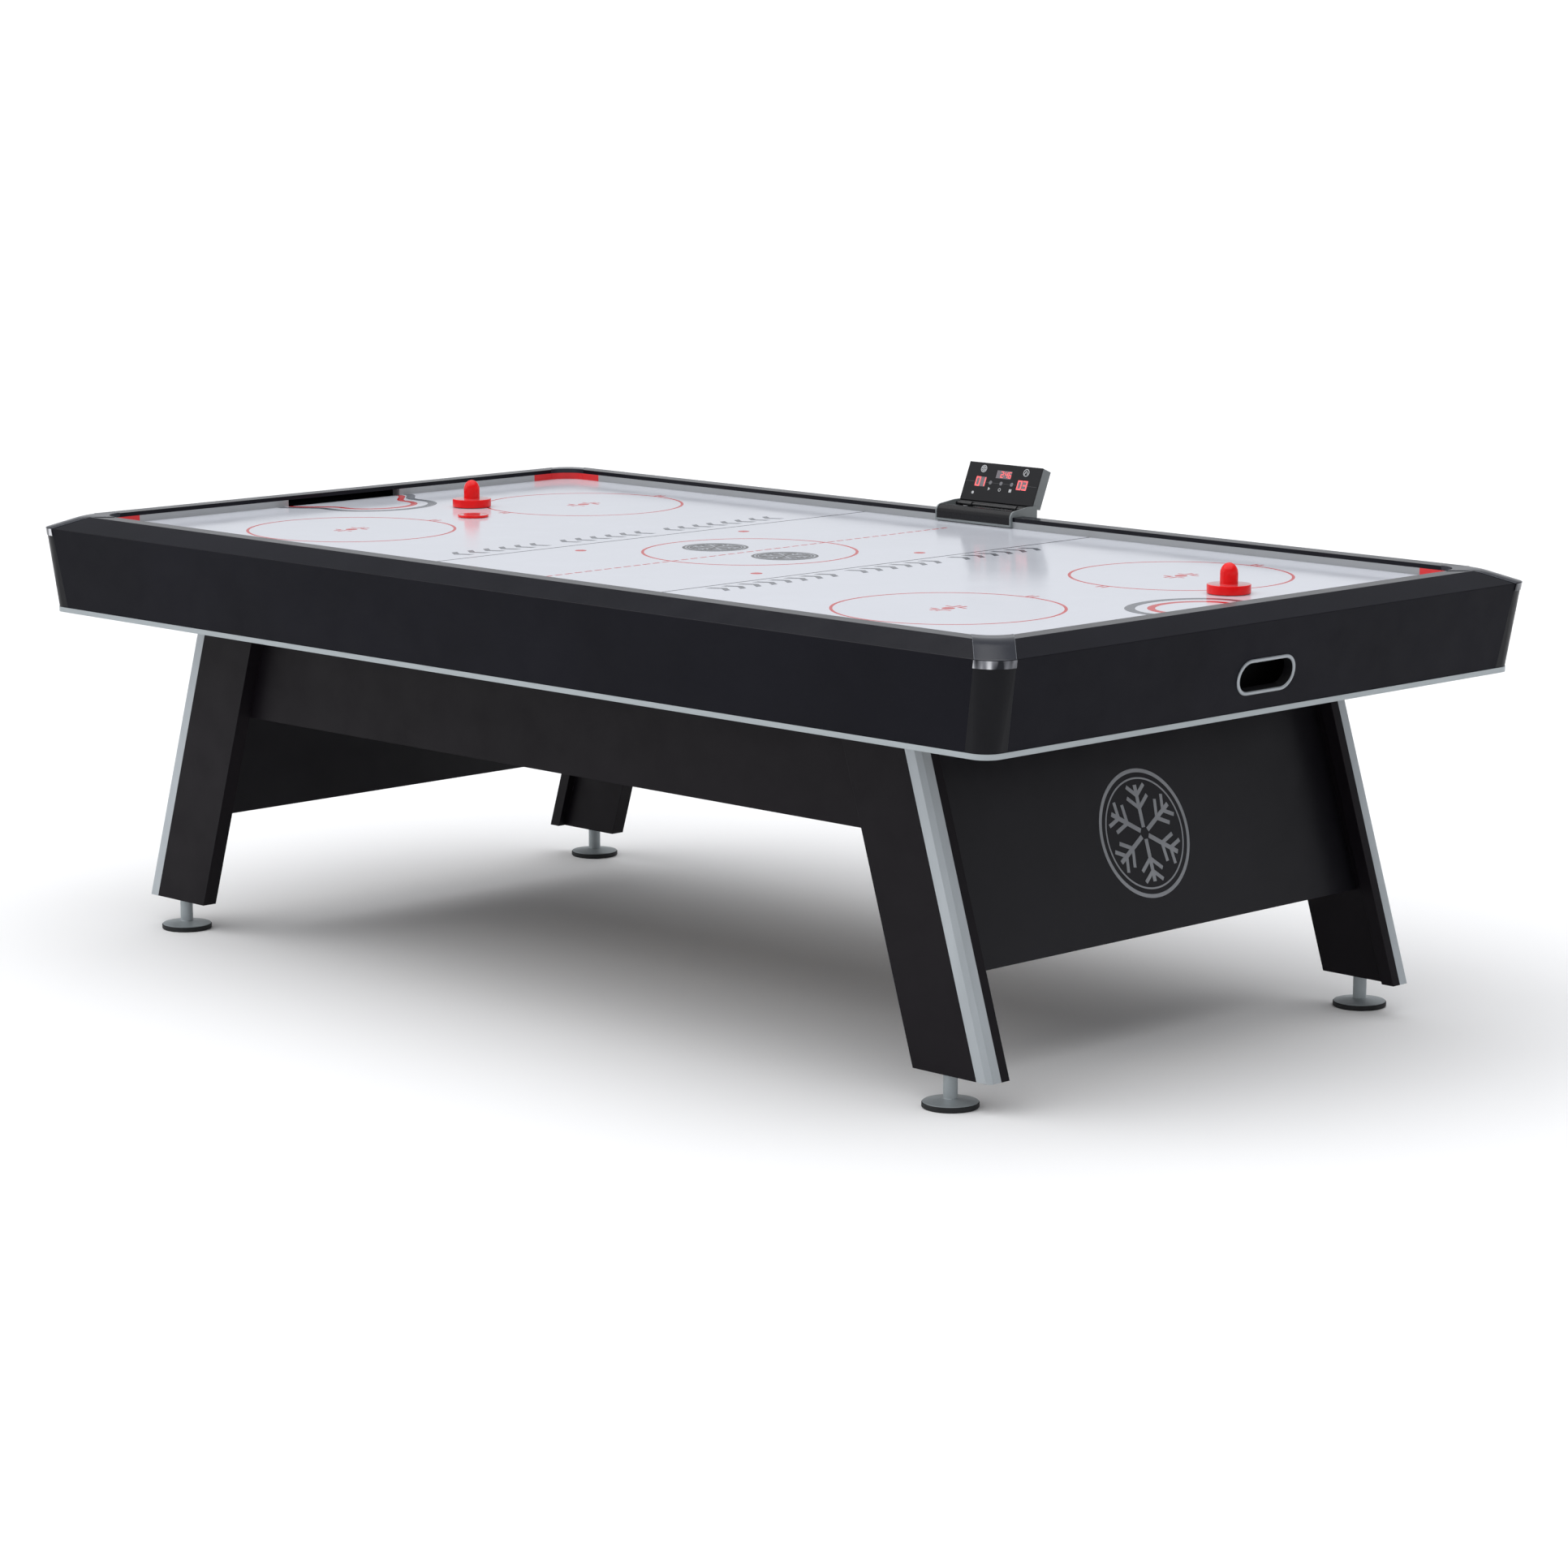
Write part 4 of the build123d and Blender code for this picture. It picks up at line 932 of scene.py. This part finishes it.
def display_details():
    """Lit digits, small printed marks, a thin rule and three button caps on the leaning face."""
    lamp_y, clock_y, rule_y, mark_y, badge_y = 38.0, 55.0, 37.0, 25, 63.0
    flake_x, bars_x, button_x = -53.0, 55.0, 27.0
    lit = glowing("lit_segments", srgb(255, 112, 114), srgb(246, 92, 96), 0.55)
    pale = moulded("icon_print", srgb(196, 198, 200), 0.35, 0.45, edge=0.0002)
    line_grey = moulded("face_line", srgb(72, 72, 76), 0.3, 0.4, edge=0.0002)

    lamps = Inlay(-0.62, -0.45)
    for middle, text in ((-53.5, "01"), (52.5, "03")):
        for x, char in zip((-6.8, 6.4), text):
            digit(lamps, char, middle + x, lamp_y, width=11.6, height=19.0, stroke=2.7)
    for x, char in ((-4.1, "2"), (6.7, "4"), (15.5, "6")):
        digit(lamps, char, x, clock_y, width=7.0, height=12.6, stroke=1.7)
    for y in (57.4, 52.4):
        lamps.disc(1.0, y, 0.8, 20)
    lamps.finish("display_digits", FACE, lit, "display", "display_leds")

    icons = Inlay(-0.05, 0.15)
    icons.shape([(-29.2, mark_y - 3.4), (-23.8, mark_y), (-29.2, mark_y + 3.4)])
    icons.ring(0, mark_y, 2.7, 1.1, 40)
    icons.bar(button_x, mark_y, 6.2, 6.2)
    icons.disc(-65.0, 15.0, 2.9, 40)
    icons.ring(flake_x, badge_y, 6.6, 1.4, 48)
    snow_star(icons, flake_x, badge_y, 5.2, 0.9, 2.0)
    icons.ring(bars_x, badge_y, 6.6, 1.4, 48)
    for side in (-1, 1):
        icons.bar(bars_x + side * 2.2, badge_y, 1.5, 7.5, side * 24)
    icons.finish("display_icons", FACE, pale, "display", "scorer_black")

    rule = Inlay(-0.05, 0.08)
    for x0, x1 in ((-89.5, -68.0), (-39.0, -32.0), (-22.0, -5.0), (5.0, 22.0), (32.0, 38.0), (67.0, 89.5)):
        rule.bar((x0 + x1) / 2, rule_y, x1 - x0, 0.5)
    rule.finish("display_rule", FACE, line_grey, "display", "scorer_black")

    grey = moulded("button_grey", srgb(112, 112, 116), 0.4, 0.55, edge=0.0003)
    outline = [(0, -3.9, 0), (5.2, -3.9, 0), (5.2, -2.75, 0), (4.0, -2.75, 0), (4.0, 0.35, 0.5)]
    outline += [(3.2, 0.8, 0.6), (0, 0.55, 0)]
    for name, x in (("start", -button_x), ("mode", 0.0), ("stop", button_x)):
        place = FACE @ Matrix.Translation((x * MM, rule_y * MM, 0))
        cap = lathe("button_cap_" + name, outline, place, grey, "button_" + name, 48)
        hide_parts("button_" + name)


field_lines()
goal_creases()
chevron_bands()
centre_roundels()
panel_roundels()
corner_caps()
return_rims()
pushers()
puck()
levelling_feet()
display_details()


# ---- floor, light and camera -----------------------------------------------------------------------


def make_floor():
    """A wide pale disc, in rings that widen outward."""
    bm = bmesh.new()
    steps = 96
    centre = bm.verts.new((0, 0, 0))
    last = None
    for radius in (4.0, 12.0, 40.0, 150.0, 600.0):
        ring = [bm.verts.new((x, y, 0)) for x, y in circle(radius, steps)]
        for k in range(steps):
            j = (k + 1) % steps
            if last is None:
                bm.faces.new((centre, ring[k], ring[j]))
            else:
                bm.faces.new((last[k], ring[k], ring[j], last[j]))
        last = ring
    mesh = bpy.data.meshes.new("floor")
    bm.to_mesh(mesh)
    bm.free()
    floor = bpy.data.objects.new("floor", mesh)
    bpy.context.scene.collection.objects.link(floor)
    look = Finish("studio_floor", Specular_IOR_Level=0.0)
    look.tint((0.93, 0.93, 0.935), 0.004, scale=0.8)
    look.shader.inputs["Roughness"].default_value = 1.0
    dress(floor, look.material)


def make_world():
    """Soft studio surround, white to the eye. Its light fades above the horizon and returns overhead."""
    world = bpy.data.worlds.new("studio")
    bpy.context.scene.world = world
    world.use_nodes = True
    tree = world.node_tree
    tree.nodes.clear()

    def add(kind):
        return tree.nodes.new("ShaderNode" + kind)

    place, split, ramp = add("TexCoord"), add("SeparateXYZ"), add("ValToRGB")
    # Stops run from straight down (0) past the horizon (0.5) to straight up (1).
    stops = ((0.0, 0.5), (0.5, 0.6), (0.58, 0.64), (0.66, 0.44), (0.78, 0.25), (0.9, 0.18), (1.0, 0.8))
    cool = (0.97, 0.99, 1.03)
    scaled = add("MapRange")
    scaled.inputs["From Min"].default_value = -1.0
    elements = ramp.color_ramp.elements
    while len(elements) < len(stops):
        elements.new(0.5)
    for element, (position, value) in zip(elements, stops):
        element.position = position
        element.color = (*(value * share for share in cool), 1)
    lit, seen, path = add("Background"), add("Background"), add("LightPath")
    lit.inputs["Strength"].default_value = 1.0
    seen.inputs["Color"].default_value = (1, 1, 1, 1)
    mix, out = add("MixShader"), add("OutputWorld")
    for source, target in (
        (place.outputs["Generated"], split.inputs["Vector"]),
        (split.outputs["Z"], scaled.inputs["Value"]),
        (scaled.outputs["Result"], ramp.inputs["Fac"]),
        (ramp.outputs["Color"], lit.inputs["Color"]),
        (path.outputs["Is Camera Ray"], mix.inputs["Fac"]),
        (lit.outputs["Background"], mix.inputs[1]),
        (seen.outputs["Background"], mix.inputs[2]),
        (mix.outputs["Shader"], out.inputs["Surface"]),
    ):
        tree.links.new(source, target)


def sun(name, towards, strength, spread):
    """A broad soft light from far away, the same everywhere on the floor."""
    data = bpy.data.lights.new(name, "SUN")
    data.energy = strength
    data.angle = math.radians(spread)
    lamp = bpy.data.objects.new(name, data)
    bpy.context.scene.collection.objects.link(lamp)
    lamp.rotation_mode = "QUATERNION"
    lamp.rotation_quaternion = Vector(towards).to_track_quat("-Z", "Y")


def make_camera():
    """The upper view of the photograph: from beyond the near right corner, a little above the rails."""
    data = bpy.data.cameras.new("camera")
    data.sensor_width, data.lens = 36.0, 106.9
    data.clip_start, data.clip_end = 0.1, 2000.0
    camera = bpy.data.objects.new("camera", data)
    bpy.context.scene.collection.objects.link(camera)
    camera.location = (5.9191, MID_Y - 5.7847, SURFACE + 1.0298)
    yaw, pitch = math.radians(-45.235), math.radians(9.95)
    aim = Vector((math.sin(yaw) * math.cos(pitch), math.cos(yaw) * math.cos(pitch), -math.sin(pitch)))
    camera.rotation_mode = "QUATERNION"
    camera.rotation_quaternion = aim.to_track_quat("-Z", "Y")
    bpy.context.scene.camera = camera


make_floor()
make_world()
sun("overhead", (0.05, 0.1, -1), 2.35, 100)
sun("front_left", (0.8, 0.75, -0.7), 0.6, 60)
make_camera()
bpy.context.scene.view_settings.view_transform = "Standard"
